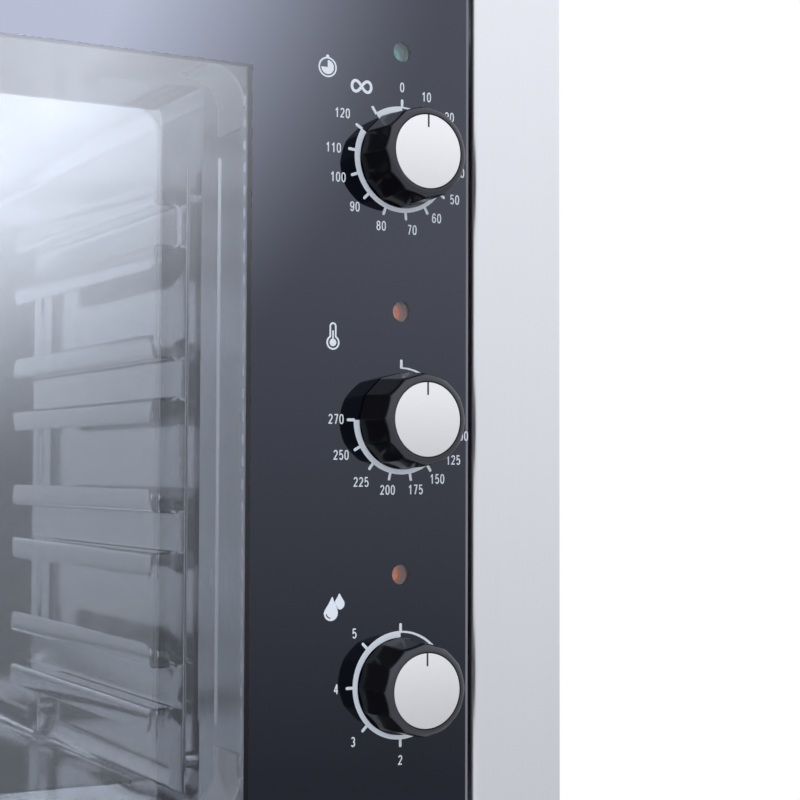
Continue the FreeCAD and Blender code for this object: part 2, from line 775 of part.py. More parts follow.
def baffle_screws():
    """Thumb screws that hold the baffle on its posts."""
    screws = []
    for x, z in baffle_post_points():
        head = rod(x, BAFFLE_Y - THUMB_T, z, THUMB_R, THUMB_T, Y_AXIS)
        shank = rod(x, BAFFLE_Y, z, SCREW_SHANK_R, SCREW_SHANK_L, Y_AXIS)
        screws.append(fuse_all([head, shank]))
    return Part.makeCompound(screws)


def fan_wheel():
    """Radial wheel: back plate, hub, front ring, and the blades welded between ring and plate."""
    y0 = FAN_FRONT_Y
    y1 = y0 + FAN_D
    back = rod(AXIS_X, y1 - FAN_SHEET, AXIS_Z, FAN_R, FAN_SHEET, Y_AXIS)
    back = back.cut(drill(AXIS_X, AXIS_Z, SHAFT_R + PART_CLEAR, y1 - FAN_SHEET, y1))
    hub = rod(AXIS_X, y1 - HUB_L, AXIS_Z, HUB_R, HUB_L - FAN_SHEET, Y_AXIS)
    hub = hub.cut(drill(AXIS_X, AXIS_Z, SHAFT_R + RUNNING_CLEAR, y1 - HUB_L, y1 - FAN_SHEET))
    front = rod(AXIS_X, y0, AXIS_Z, FAN_R, FAN_SHEET, Y_AXIS)
    front = front.cut(drill(AXIS_X, AXIS_Z, FAN_EYE_R, y0, y0 + FAN_SHEET))
    pieces = [back, hub, front]
    for n in range(FAN_BLADES):
        blade = block(
            FAN_EYE_R + FAN_BLADE_INSET, FAN_R - FAN_BLADE_INSET, y0 + FAN_SHEET, y1 - FAN_SHEET,
            -FAN_BLADE_T / 2, FAN_BLADE_T / 2,
        )
        blade.translate(Vector(AXIS_X, 0, AXIS_Z))
        blade.rotate(Vector(AXIS_X, 0, AXIS_Z), Y_AXIS, 360.0 * n / FAN_BLADES)
        pieces.append(blade)
    return Part.makeCompound(pieces)


def motor_shaft():
    """Shaft from inside the motor to the fan nut."""
    start = FAN_FRONT_Y + FAN_D - HUB_L - NUT_T
    length = MOTOR_Y + MOTOR_L / 2 - start
    return rod(AXIS_X, start, AXIS_Z, SHAFT_R, length, Y_AXIS)


def fan_nut():
    """Hexagon nut in front of the fan hub."""
    y0 = FAN_FRONT_Y + FAN_D - HUB_L - NUT_T
    corners = []
    for n in range(7):
        angle = math.radians(60 * n)
        corners.append(Vector(AXIS_X + NUT_R * math.cos(angle), y0, AXIS_Z + NUT_R * math.sin(angle)))
    nut = Part.Face(Part.makePolygon(corners)).extrude(Vector(0, NUT_T, 0))
    return nut.cut(drill(AXIS_X, AXIS_Z, SHAFT_R + RUNNING_CLEAR, y0, y0 + NUT_T))


def fan_motor():
    """Round motor with a blind bore for its shaft."""
    body = rod(AXIS_X, MOTOR_Y, AXIS_Z, MOTOR_R, MOTOR_L, Y_AXIS)
    rims = [e for e in body.Edges if e.Length > MOTOR_R * 3]
    body = body.makeFillet(MOTOR_EDGE_R, rims)
    depth = MOTOR_L / 2 + PART_CLEAR + CUT_PAST
    return body.cut(rod(AXIS_X, MOTOR_Y - CUT_PAST, AXIS_Z, SHAFT_R + RUNNING_CLEAR, depth, Y_AXIS))


def standoff_points():
    """Where the motor plate stands on the rear wall, as (x, z)."""
    reach = (MOTOR_R + MOTOR_PLATE_MARGIN - STANDOFF_INSET) / math.sqrt(2)
    return [(AXIS_X + i * reach, AXIS_Z + k * reach) for i in (1, -1) for k in (1, -1)]


def motor_plate():
    """Round plate on four legs that carries the motor behind the insulation."""
    plate = rod(AXIS_X, INSULATION_BACK, AXIS_Z, MOTOR_R + MOTOR_PLATE_MARGIN, MOTOR_PLATE_T, Y_AXIS)
    hole = drill(AXIS_X, AXIS_Z, SHAFT_R + SHAFT_HOLE_CLEAR, INSULATION_BACK, MOTOR_Y)
    legs = [rod(x, REAR_OUT, z, STANDOFF_R, INSULATION_T, Y_AXIS) for x, z in standoff_points()]
    return fuse_all([plate.cut(hole)] + legs)


def heating_elements():
    """Two tubular heater rings round the fan, each with two tails through the rear wall."""
    rings = []
    for gap_deg, from_rear in zip(ELEMENT_GAPS_DEG, ELEMENT_FROM_REAR):
        (first, first_on), (last, last_on) = element_ends(gap_deg, from_rear)
        top = Vector(AXIS_X, REAR_Y - from_rear, AXIS_Z + ELEMENT_R)
        tail = INSULATION_BACK + ELEMENT_TAIL - (REAR_Y - from_rear) - ELEMENT_BEND_R
        edges = tail_edges(first, first_on, tail)
        edges.append(Part.Arc(first, top, last).toShape())
        edges += list(reversed(tail_edges(last, last_on, tail)))
        path = Part.Wire(Part.__sortEdges__(edges))
        start = first + (first_on + Y_AXIS) * ELEMENT_BEND_R + Y_AXIS * tail
        rings.append(tube_along(path, ELEMENT_TUBE_R, start, Y_AXIS))
    return Part.makeCompound(rings)


def tail_edges(point, onward, tail):
    """A straight tail and the bend that joins it to the ring."""
    bend = ELEMENT_BEND_R
    middle = point + onward * (bend * math.sin(math.pi / 4)) + Y_AXIS * (bend * (1 - math.cos(math.pi / 4)))
    corner = point + (onward + Y_AXIS) * bend
    return [
        Part.LineSegment(corner + Y_AXIS * tail, corner).toShape(),
        Part.Arc(corner, middle, point).toShape(),
    ]


# Water, steam, light and wiring

def solenoid_valve():
    """Water valve on the back panel, with a threaded inlet and its lock nut outside."""
    half = VALVE_SIZE / 2
    y1 = BODY_D - SHEET
    body = block(VALVE_X - half, VALVE_X + half, y1 - VALVE_SIZE, y1, VALVE_Z - half, VALVE_Z + half)
    inlet = rod(VALVE_X, y1, VALVE_Z, INLET_R, SHEET + INLET_L, Y_AXIS)
    nut = rod(VALVE_X, BODY_D, VALVE_Z, INLET_NUT_R, INLET_NUT_T, Y_AXIS)
    bore = rod(VALVE_X, y1, VALVE_Z, INLET_BORE_R, SHEET + INLET_L + CUT_PAST, Y_AXIS)
    inlet = fuse_all([inlet, nut]).cut(bore)
    outlet = rod(VALVE_X, y1 - half, VALVE_Z + half, 2 * PIPE_R, 2 * PIPE_R, Z_AXIS)
    return fuse_all([body, inlet, outlet])


def water_pipe():
    """Thin pipe from the valve to the eye of the fan."""
    y_back = BODY_D - SHEET - VALVE_SIZE / 2
    y_front = BAFFLE_Y + BAFFLE_T + PIPE_TO_BAFFLE
    x_wall = AXIS_X + PIPE_FROM_AXIS
    start = Vector(VALVE_X, y_back, VALVE_Z + VALVE_SIZE / 2 + 2 * PIPE_R)
    points = [
        start,
        Vector(VALVE_X, y_back, AXIS_Z),
        Vector(x_wall, y_back, AXIS_Z),
        Vector(x_wall, y_front, AXIS_Z),
        Vector(AXIS_X + PIPE_END_FROM_AXIS, y_front, AXIS_Z),
    ]
    return tube_along(bent_path(points, PIPE_BEND_R), PIPE_R, start, Z_AXIS)


def vent_pipe():
    """Steam outlet from the top of the cavity through the back panel."""
    length = BODY_D + VENT_REACH - REAR_Y
    pipe = rod(VENT_X, REAR_Y, VENT_Z, VENT_R, length, Y_AXIS)
    bore = drill(VENT_X, VENT_Z, VENT_R - VENT_WALL, REAR_Y, REAR_Y + length)
    collar = rod(VENT_X, BODY_D, VENT_Z, VENT_R + 3 * VENT_WALL, VENT_WALL, Y_AXIS)
    return fuse_all([pipe, collar]).cut(bore)


def temperature_probe():
    """Sensor rod through the rear wall, with its hexagon gland outside."""
    x = AXIS_X - PROBE_FROM_AXIS
    z = AXIS_Z + PROBE_ABOVE_AXIS
    start = REAR_Y - PROBE_LENGTH
    stem = rod(x, start, z, PROBE_R, INSULATION_BACK - start, Y_AXIS)
    gland = rod(x, INSULATION_BACK, z, 3 * PROBE_R, 4 * PROBE_R, Y_AXIS)
    return fuse_all([stem, gland])


def lamp_housing():
    """Cup above the ceiling that holds the oven light."""
    z0 = CAVITY_Z1 + CAVITY_T
    cup = rod(LIGHT_X, LIGHT_Y, z0, LIGHT_R + LIGHT_RIM, LIGHT_HOUSING_H, Z_AXIS)
    deep = LIGHT_HOUSING_H - LIGHT_WALL
    hollow = rod(LIGHT_X, LIGHT_Y, z0 - CUT_PAST, LIGHT_R, deep + CUT_PAST, Z_AXIS)
    return cup.cut(hollow)


def lamp_glass():
    """Shallow glass dome under the ceiling."""
    rim = rod(LIGHT_X, LIGHT_Y, CAVITY_Z1 - LIGHT_WALL, LIGHT_R + LIGHT_RIM / 2, LIGHT_WALL, Z_AXIS)
    radius = (LIGHT_R ** 2 + LIGHT_DOME ** 2) / (2 * LIGHT_DOME)
    low = CAVITY_Z1 - LIGHT_WALL - LIGHT_DOME
    ball = Part.makeSphere(radius, Vector(LIGHT_X, LIGHT_Y, low + radius))
    slab = rod(LIGHT_X, LIGHT_Y, low - CUT_PAST, LIGHT_R, LIGHT_DOME + CUT_PAST, Z_AXIS)
    return fuse_all([rim, slab.common(ball)])


def terminal_block():
    """Row of mains terminals on the floor of the casing."""
    y1 = BODY_D - SHEET - TERMINAL_FROM_BACK
    x0 = GLAND_X - TERMINAL_W / 2
    base = block(x0, x0 + TERMINAL_W, y1 - TERMINAL_D, y1, BASE_TOP, BASE_TOP + TERMINAL_H)
    step = TERMINAL_W / 5
    wells = []
    for n in range(5):
        x = x0 + (n + 0.5) * step
        wells.append(rod(x, y1 - TERMINAL_D / 2, BASE_TOP + TERMINAL_H / 2, step / 3, TERMINAL_H, Z_AXIS))
    return cut_all(base, wells)


def contactor():
    """Switching contactor behind the terminals."""
    y1 = BODY_D - SHEET - TERMINAL_FROM_BACK - TERMINAL_D - CONTACTOR_BEHIND
    half = CONTACTOR_W / 2
    body = block(GLAND_X - half, GLAND_X + half, y1 - CONTACTOR_D, y1, BASE_TOP, BASE_TOP + CONTACTOR_H)
    notch = CONTACTOR_H / 4
    ends = []
    wide = half + CUT_PAST
    top = BASE_TOP + CONTACTOR_H
    for y0 in (y1 - CONTACTOR_D - CUT_PAST, y1 - notch):
        ends.append(
            block(GLAND_X - wide, GLAND_X + wide, y0, y0 + notch + CUT_PAST, top - notch, top + CUT_PAST)
        )
    return cut_all(body, ends)


def cable_gland():
    """Gland for the mains lead, with its nut inside the back panel."""
    y0 = BODY_D - SHEET - GLAND_INSIDE
    stem = rod(GLAND_X, y0, GLAND_Z, GLAND_R, GLAND_INSIDE + SHEET + GLAND_REACH, Y_AXIS)
    collar = rod(GLAND_X, BODY_D, GLAND_Z, GLAND_NUT_R, GLAND_NUT_T, Y_AXIS)
    nut = rod(GLAND_X, BODY_D - SHEET - GLAND_NUT_T, GLAND_Z, GLAND_NUT_R, GLAND_NUT_T, Y_AXIS)
    bore = drill(GLAND_X, GLAND_Z, GLAND_BORE_R, y0, BODY_D + GLAND_REACH)
    return fuse_all([stem, collar, nut]).cut(bore)


# Door

def glass_holes(y0, y1, lamp_radius):
    """Holes through the glass, its print or its panel for controls and handle posts."""
    tools = []
    for z in KNOB_Z:
        tools.append(drill(KNOB_X, z, BUSH_R + HOLE_CLEAR, y0, y1))
    for z in POST_Z:
        tools.append(drill(HANDLE_X, z, POST_STUD_R + HOLE_CLEAR, y0, y1))
    if lamp_radius:
        for z in LAMP_Z:
            tools.append(drill(KNOB_X, z, lamp_radius, y0, y1))
    return tools


def window_cut(y0, y1):
    """A cut for the window through what lies between two depths."""
    return block(WINDOW_X0, WINDOW_X1, y0 - CUT_PAST, y1 + CUT_PAST, WINDOW_Z0, WINDOW_Z1)


def outer_glass():
    """Full-width front glass."""
    sheet = block(GLASS_X0, GLASS_X1, 0, GLASS_T, GLASS_Z0, GLASS_Z1)
    return cut_all(sheet, glass_holes(0, GLASS_T, 0))


def glass_print():
    """Black enamel on the back of the glass, clear at the window and the lamps."""
    coat = block(GLASS_X0, GLASS_X1, PRINT_Y, PANEL_Y, GLASS_Z0, GLASS_Z1)
    window = window_cut(PRINT_Y, PANEL_Y)
    return cut_all(coat, [window] + glass_holes(PRINT_Y, PANEL_Y, LAMP_WINDOW_R))


def door_panel():
    """Sheet-steel door: front sheet, walls round the window and a rear flange."""
    edge = PANEL_INSET
    front = block(GLASS_X0 + edge, GLASS_X1 - edge, PANEL_Y, PANEL_BACK, GLASS_Z0 + edge, GLASS_Z1 - edge)
    front = front.cut(window_cut(PANEL_Y, PANEL_BACK))
    front = cut_all(front, glass_holes(PANEL_Y, PANEL_BACK, LAMP_WINDOW_R + HOLE_CLEAR))
    walls = ring(WINDOW_X0, WINDOW_X1, WINDOW_Z0, WINDOW_Z1, PANEL_T, PANEL_Y, INNER_GLASS_Y)
    rear = ring(WINDOW_X0, WINDOW_X1, WINDOW_Z0, WINDOW_Z1, REAR_FLANGE, INNER_GLASS_Y - PANEL_T, INNER_GLASS_Y)
    return fuse_all([front, walls, rear])


def vent_strips():
    """Perforated strips along the upright sides of the window, and plain stop strips for the inner pane."""
    y0 = PANEL_Y
    y1 = y0 + VENT_STRIP_D
    x0 = WINDOW_X1 - VENT_STRIP_T
    strip = block(x0, WINDOW_X1, y0, y1, WINDOW_Z0, WINDOW_Z1)
    count = int((WINDOW_Z1 - WINDOW_Z0 - VENT_SLOT_PITCH) // VENT_SLOT_PITCH)
    first = 0.5 * (WINDOW_Z0 + WINDOW_Z1) - (count - 1) * VENT_SLOT_PITCH / 2
    middle = 0.5 * (y0 + y1)
    slots = []
    for n in range(count):
        z = first + n * VENT_SLOT_PITCH
        slots.append(
            block(x0 - CUT_PAST, WINDOW_X1 + CUT_PAST, middle - VENT_SLOT_W / 2, middle + VENT_SLOT_W / 2,
                  z - VENT_SLOT_L / 2, z + VENT_SLOT_L / 2)
        )
    right = cut_all(strip, slots)
    end = CORNER_CLIP_DROP + STOP_STRIP_GAP
    stop = block(
        x0, WINDOW_X1, INNER_GLASS_Y - STOP_STRIP_D, INNER_GLASS_Y, WINDOW_Z0 + end, WINDOW_Z1 - end
    )
    return Part.makeCompound([right, stop, mirrored(right, AXIS_X), mirrored(stop, AXIS_X)])


def inner_glass():
    """Clear inner pane against the rear flange."""
    lap = INNER_GLASS_LAP
    return block(
        WINDOW_X0 - lap, WINDOW_X1 + lap, INNER_GLASS_Y, DOOR_BACK, WINDOW_Z0 - lap, WINDOW_Z1 + lap
    )


def glass_clips():
    """Silicone clips on the upright edges of the inner pane, and bent guards in the window's corners."""
    edge = WINDOW_X1 + INNER_GLASS_LAP
    clips = []
    for z in (WINDOW_Z1 + INNER_GLASS_LAP - CLIP_END_INSET, WINDOW_Z0 - INNER_GLASS_LAP + CLIP_END_INSET):
        foot = block(edge, edge + CLIP_FOOT, INNER_GLASS_Y, DOOR_BACK, z - CLIP_W / 2, z + CLIP_W / 2)
        tongue = block(
            edge - CLIP_LAP, edge + CLIP_FOOT, DOOR_BACK, DOOR_BACK + CLIP_T, z - CLIP_W / 2, z + CLIP_W / 2
        )
        clip = fuse_all([foot, tongue])
        clips += [clip, mirrored(clip, AXIS_X)]
    middle = Vector(0, 0, 0.5 * (WINDOW_Z0 + WINDOW_Z1))
    for strap in (corner_strap(), corner_strap().mirror(middle, Z_AXIS)):
        clips += [strap, mirrored(strap, AXIS_X)]
    return Part.makeCompound(clips)


def corner_strap():
    """Guard bent round the top right corner of the window, between the two panes."""
    half = CORNER_CLIP_T / 2
    y = PANEL_Y + CORNER_CLIP_SETBACK
    x = WINDOW_X1 - VENT_STRIP_T - half
    z = WINDOW_Z1 - half
    line = [
        Vector(x - CORNER_CLIP_RUN, y, z),
        Vector(x, y, z),
        Vector(x, y, z - CORNER_CLIP_DROP),
    ]
    return folded_sheet(line, CORNER_CLIP_T, CORNER_CLIP_BEND_R, Vector(0, CORNER_CLIP_D, 0))


def catch_plate():
    """Steel strike on the free edge of the door."""
    x1 = WINDOW_X0 - INNER_GLASS_LAP
    return block(
        x1 - MAGNET_W, x1, INNER_GLASS_Y, DOOR_BACK, DOOR_MID_Z - MAGNET_H / 2, DOOR_MID_Z + MAGNET_H / 2
    )


def catch_magnet():
    """Magnet on the front frame that holds the door shut."""
    x1 = WINDOW_X0 - INNER_GLASS_LAP
    return block(
        x1 - MAGNET_W, x1, DOOR_BACK + CATCH_GAP, FRAME_Y, DOOR_MID_Z - MAGNET_H / 2, DOOR_MID_Z + MAGNET_H / 2
    )


def handle_bar():
    """Upright round bar with rounded ends."""
    bar = rod(HANDLE_X, -HANDLE_REACH, DOOR_MID_Z - HANDLE_L / 2, HANDLE_R, HANDLE_L, Z_AXIS)
    rims = [e for e in bar.Edges if e.Curve.TypeId == "Part::GeomCircle"]
    return bar.makeFillet(HANDLE_R * 0.35, rims)


def handle_posts():
    """Two posts between the bar and the glass, each with its stud and nut."""
    posts = []
    for z in POST_Z:
        post = rod(HANDLE_X, -HANDLE_REACH, z, POST_R, HANDLE_REACH, Y_AXIS)
        bar = rod(HANDLE_X, -HANDLE_REACH, z - 2 * POST_R, HANDLE_R, 4 * POST_R, Z_AXIS)
        post = post.cut(bar)
        stud = rod(HANDLE_X, -POST_R, z, POST_STUD_R, POST_R + PANEL_BACK + POST_NUT_T, Y_AXIS)
        nut = rod(HANDLE_X, PANEL_BACK, z, POST_NUT_R, POST_NUT_T, Y_AXIS)
        posts.append(fuse_all([post, stud, nut]))
    return Part.makeCompound(posts)


def hinge_leaves():
    """Top and bottom leaves on the back of the door panel, each with its pivot pin."""
    z0 = GLASS_Z1 + LEAF_GAP
    x1 = GLASS_X1
    x0 = x1 - LEAF_W
    plate = block(x0, x1, LEAF_GAP, LEAF_D, z0, z0 + LEAF_T)
    tab = block(x0, x1 - PANEL_INSET, PANEL_BACK, PANEL_BACK + LEAF_T, GLASS_Z1 - LEAF_DROP, z0 + LEAF_T)
    pin = rod(PIVOT_X, PIVOT_DEPTH, z0, PIN_R, RECESS_Z1 - PART_CLEAR - z0, Z_AXIS)
    top = fuse_all([plate, tab, pin])
    return Part.makeCompound([top, top.mirror(Vector(0, 0, DOOR_MID_Z), Z_AXIS)])


def hinge_brackets():
    """Top and bottom bearing blocks in the door recess."""
    z0 = GLASS_Z1 + LEAF_GAP + LEAF_T + LEAF_GAP
    x1 = RECESS_X
    body = block(x1 - BRACKET_W, x1, BRACKET_SETBACK, BRACKET_SETBACK + BRACKET_D, z0, RECESS_Z1)
    deep = RECESS_Z1 - z0 + 2 * CUT_PAST
    hole = rod(PIVOT_X, PIVOT_DEPTH, z0 - CUT_PAST, PIN_R + RUNNING_CLEAR, deep, Z_AXIS)
    top = body.cut(hole)
    return Part.makeCompound([top, top.mirror(Vector(0, 0, DOOR_MID_Z), Z_AXIS)])


# Controls

def control_body(z, depth):
    """Housing of one control, with a bush that passes into the glass."""
    half_w = CONTROL_BODY_W / 2
    half_h = CONTROL_BODY_H / 2
    box = rounded_box(
        KNOB_X - half_w, KNOB_X + half_w, PANEL_BACK, PANEL_BACK + depth, z - half_h, z + half_h,
        BUSH_R, Y_AXIS,
    )
    bush = rod(KNOB_X, BUSH_SETBACK, z, BUSH_R, PANEL_BACK - BUSH_SETBACK, Y_AXIS)
    bore = rod(KNOB_X, 0, z, SPINDLE_R + RUNNING_CLEAR, SPINDLE_DEPTH + PART_CLEAR, Y_AXIS)
    return fuse_all([box, bush]).cut(bore)


def knob(z):
    """Twelve-sided tapered knob with a rounded front rim, a cap recess and a bore."""
    def polygon(radius, y):
        corners = []
        for n in range(KNOB_SIDES + 1):
            angle = 2 * math.pi * n / KNOB_SIDES
            corners.append(Vector(KNOB_X + radius * math.sin(angle), y, z + radius * math.cos(angle)))
        return Part.makePolygon(corners)

    base = -KNOB_GAP
    front = base - KNOB_H
    prism = Part.makeLoft([polygon(KNOB_BASE_R, base), polygon(KNOB_FRONT_R, front)], True, True)
    seat_r = KNOB_CAP_R + CAP_CLEAR
    lip_r = seat_r + CAP_CLEAR
    wide_r = KNOB_RIM_R + KNOB_BASE_R - KNOB_FRONT_R
    line = [
        Part.LineSegment(Vector(0, base, 0), Vector(wide_r, base, 0)).toShape(),
        Part.LineSegment(Vector(wide_r, base, 0), Vector(KNOB_RIM_R, front + KNOB_RIM_H, 0)).toShape(),
        rim_arc(lip_r, front),
        Part.LineSegment(Vector(lip_r, front, 0), Vector(0, front, 0)).toShape(),
        Part.LineSegment(Vector(0, front, 0), Vector(0, base, 0)).toShape(),
    ]
    turned = Part.Face(Part.Wire(line)).revolve(Vector(0, 0, 0), Y_AXIS, 360)
    turned.translate(Vector(KNOB_X, 0, z))
    solid = prism.common(turned)
    recess = rod(KNOB_X, front - CUT_PAST, z, seat_r, KNOB_CAP_T + CUT_PAST, Y_AXIS)
    bore = rod(KNOB_X, base - SPINDLE_GRIP, z, SPINDLE_R + RUNNING_CLEAR, SPINDLE_GRIP + CUT_PAST, Y_AXIS)
    return cut_all(solid, [recess, bore])


def rim_arc(lip_r, front):
    """The rounded rim of a knob, from its flats to the lip round the cap."""
    start = Vector(KNOB_RIM_R, front + KNOB_RIM_H, 0)
    end = Vector(lip_r, front, 0)
    wide = KNOB_RIM_R - lip_r
    bulge = math.sqrt(0.5)
    middle = Vector(lip_r + wide * bulge, front + KNOB_RIM_H * (1 - bulge), 0)
    return Part.Arc(start, middle, end).toShape()


def knob_cap(z):
    """Metal disc in the front of a knob."""
    front = -KNOB_GAP - KNOB_H
    disc = rod(KNOB_X, front, z, KNOB_CAP_R, KNOB_CAP_T, Y_AXIS)
    rim = [e for e in disc.Edges if abs(e.BoundBox.YMax - front) < 1e-6]
    return disc.makeChamfer(CAP_CLEAR, rim)


def spindle(z):
    """Round spindle from inside the control to the bottom of the knob's bore."""
    start = -KNOB_GAP - SPINDLE_GRIP
    return rod(KNOB_X, start, z, SPINDLE_R, SPINDLE_DEPTH - start, Y_AXIS)


def pilot_lens(z):
    """Domed coloured lens, set back in its holder behind a clear spot of the glass."""
    crown = PANEL_BACK + LENS_SETBACK
    rim = crown + LENS_DOME
    back = rim + LENS_D
    radius = (LENS_R ** 2 + LENS_DOME ** 2) / (2 * LENS_DOME)
    half = LENS_R / 2
    sag = radius - math.sqrt(radius ** 2 - half ** 2)
    line = [
        Part.Arc(Vector(0, crown, 0), Vector(half, crown + sag, 0), Vector(LENS_R, rim, 0)).toShape(),
        Part.LineSegment(Vector(LENS_R, rim, 0), Vector(LENS_R, back, 0)).toShape(),
        Part.LineSegment(Vector(LENS_R, back, 0), Vector(0, back, 0)).toShape(),
        Part.LineSegment(Vector(0, back, 0), Vector(0, crown, 0)).toShape(),
    ]
    lens = Part.Face(Part.Wire(line)).revolve(Vector(0, 0, 0), Y_AXIS, 360)
    lens.translate(Vector(KNOB_X, 0, z))
    return lens


def pilot_bodies():
    """Lamp holders on the back of the door panel."""
    bodies = []
    for z in LAMP_Z:
        body = rod(KNOB_X, PANEL_BACK, z, LAMP_BODY_R, LAMP_BODY_D, Y_AXIS)
        depth = CUT_PAST + LENS_SETBACK + LENS_DOME + LENS_D
        seat = rod(KNOB_X, PANEL_BACK - CUT_PAST, z, LENS_R + PART_CLEAR, depth, Y_AXIS)
        bodies.append(body.cut(seat))
    return Part.makeCompound(bodies)


def control_cover():
    """Sheet cover over the backs of the controls."""
    half_w = CONTROL_BODY_W / 2 + COVER_MARGIN
    low = KNOB_Z[-1] - CONTROL_BODY_H / 2 - COVER_END_MARGIN
    high = LAMP_Z[0] + LAMP_BODY_R + COVER_END_MARGIN / 2
    back = PANEL_BACK + COVER_INSIDE_D
    outer = block(KNOB_X - half_w, KNOB_X + half_w, PANEL_BACK, back, low, high)
    inner = block(
        KNOB_X - half_w + COVER_T, KNOB_X + half_w - COVER_T, PANEL_BACK - CUT_PAST, back - COVER_T,
        low + COVER_T, high - COVER_T,
    )
    return outer.cut(inner)


# Nodes

def build():
    """Every node of the oven by name."""
    nodes = {
        "base_pan": base_pan(),
        "top_cover": top_cover(),
        "right_side_panel": right_side_panel(),
        "left_side_panel": mirrored(right_side_panel(), 0),
        "back_panel": back_panel(),
        "casing_screws": casing_screws(),
        "feet": feet(),
        "front_frame": front_frame(),
        "door_gasket": door_gasket(),
        "cavity_shell": cavity_shell(),
        "insulation": insulation(),
        "right_rack": right_rack(),
        "left_rack": mirrored(right_rack(), AXIS_X),
        "rack_studs": rack_studs(),
        "fan_baffle": fan_baffle(),
        "baffle_posts": baffle_posts(),
        "baffle_screws": baffle_screws(),
        "fan_wheel": fan_wheel(),
        "motor_shaft": motor_shaft(),
        "fan_nut": fan_nut(),
        "fan_motor": fan_motor(),
        "motor_plate": motor_plate(),
        "heating_elements": heating_elements(),
        "solenoid_valve": solenoid_valve(),
        "water_pipe": water_pipe(),
        "vent_pipe": vent_pipe(),
        "temperature_probe": temperature_probe(),
        "lamp_housing": lamp_housing(),
        "lamp_glass": lamp_glass(),
        "terminal_block": terminal_block(),
        "contactor": contactor(),
        "cable_gland": cable_gland(),
        "hinge_brackets": hinge_brackets(),
        "catch_magnet": catch_magnet(),
        "outer_glass": outer_glass(),
        "glass_print": glass_print(),
        "door_panel": door_panel(),
        "vent_strips": vent_strips(),
        "inner_glass": inner_glass(),
        "glass_clips": glass_clips(),
        "catch_plate": catch_plate(),
        "handle_bar": handle_bar(),
        "handle_posts": handle_posts(),
        "hinge_leaves": hinge_leaves(),
        "timer_body": control_body(KNOB_Z[0], TIMER_D),
        "temperature_selector": control_body(KNOB_Z[1], SELECTOR_D),
        "humidity_regulator": control_body(KNOB_Z[2], REGULATOR_D),
        "pilot_bodies": pilot_bodies(),
        "green_lens": pilot_lens(LAMP_Z[0]),
        "amber_lenses": Part.makeCompound([pilot_lens(z) for z in LAMP_Z[1:]]),
        "control_cover": control_cover(),
    }
    for name, z in zip(("timer", "temperature", "humidity"), KNOB_Z):
        nodes[name + "_knob"] = knob(z)
        nodes[name + "_cap"] = knob_cap(z)
        nodes[name + "_spindle"] = spindle(z)
    return nodes


def main():
    """Shift every node to the centred frame and write it out."""
    os.makedirs("parts", exist_ok=True)
    for name, shape in build().items():
        shape.translate(Vector(0, Y_SHIFT, 0))
        if not shape.isValid():
            print("not valid:", name)
        shape.exportStep("parts/" + name + ".step")


main()
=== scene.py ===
"""Looks of a convection oven: its finishes, printed dials, fine pieces and studio.

Sizes in the classes are millimetres, and the finished pieces are in metres in the frame's own place.
"""
import logging
import math
from collections.abc import Callable, Iterable, Sequence
from dataclasses import dataclass, field
from enum import Enum

import bmesh
import bpy
from mathutils import Matrix, Vector
from mathutils.geometry import tessellate_polygon

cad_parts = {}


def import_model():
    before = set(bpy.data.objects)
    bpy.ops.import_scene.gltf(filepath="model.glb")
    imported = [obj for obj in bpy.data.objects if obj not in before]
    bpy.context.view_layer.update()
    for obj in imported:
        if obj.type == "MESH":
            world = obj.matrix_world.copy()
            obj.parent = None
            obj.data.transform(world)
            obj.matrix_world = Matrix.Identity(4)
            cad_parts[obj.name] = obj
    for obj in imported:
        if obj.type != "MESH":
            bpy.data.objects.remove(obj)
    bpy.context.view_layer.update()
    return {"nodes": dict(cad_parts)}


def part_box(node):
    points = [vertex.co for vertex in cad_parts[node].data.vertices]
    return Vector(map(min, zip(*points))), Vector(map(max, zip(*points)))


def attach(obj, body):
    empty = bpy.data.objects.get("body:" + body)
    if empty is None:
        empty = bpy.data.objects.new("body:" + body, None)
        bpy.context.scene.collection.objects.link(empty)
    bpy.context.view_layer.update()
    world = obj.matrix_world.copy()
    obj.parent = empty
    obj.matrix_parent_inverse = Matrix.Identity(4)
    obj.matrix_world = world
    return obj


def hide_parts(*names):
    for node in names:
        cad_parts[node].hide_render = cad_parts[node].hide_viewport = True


LOG = logging.getLogger("oven")
MM = 0.001
DIALS = ("timer", "temperature", "humidity")
Colour = tuple[float, float, float]
Corner = tuple[float, float, float]
Point = tuple[float, float]
Ring = list[Point]
Drawing = list[list[Ring]]
Grid = tuple[list[float], list[float]]
Span = tuple[float, float, float, float]


class Grain(Enum):
    """Which shared texture breaks up a finish."""

    BRUSHED = "brushed grain"
    MOTTLE = "soft mottle"


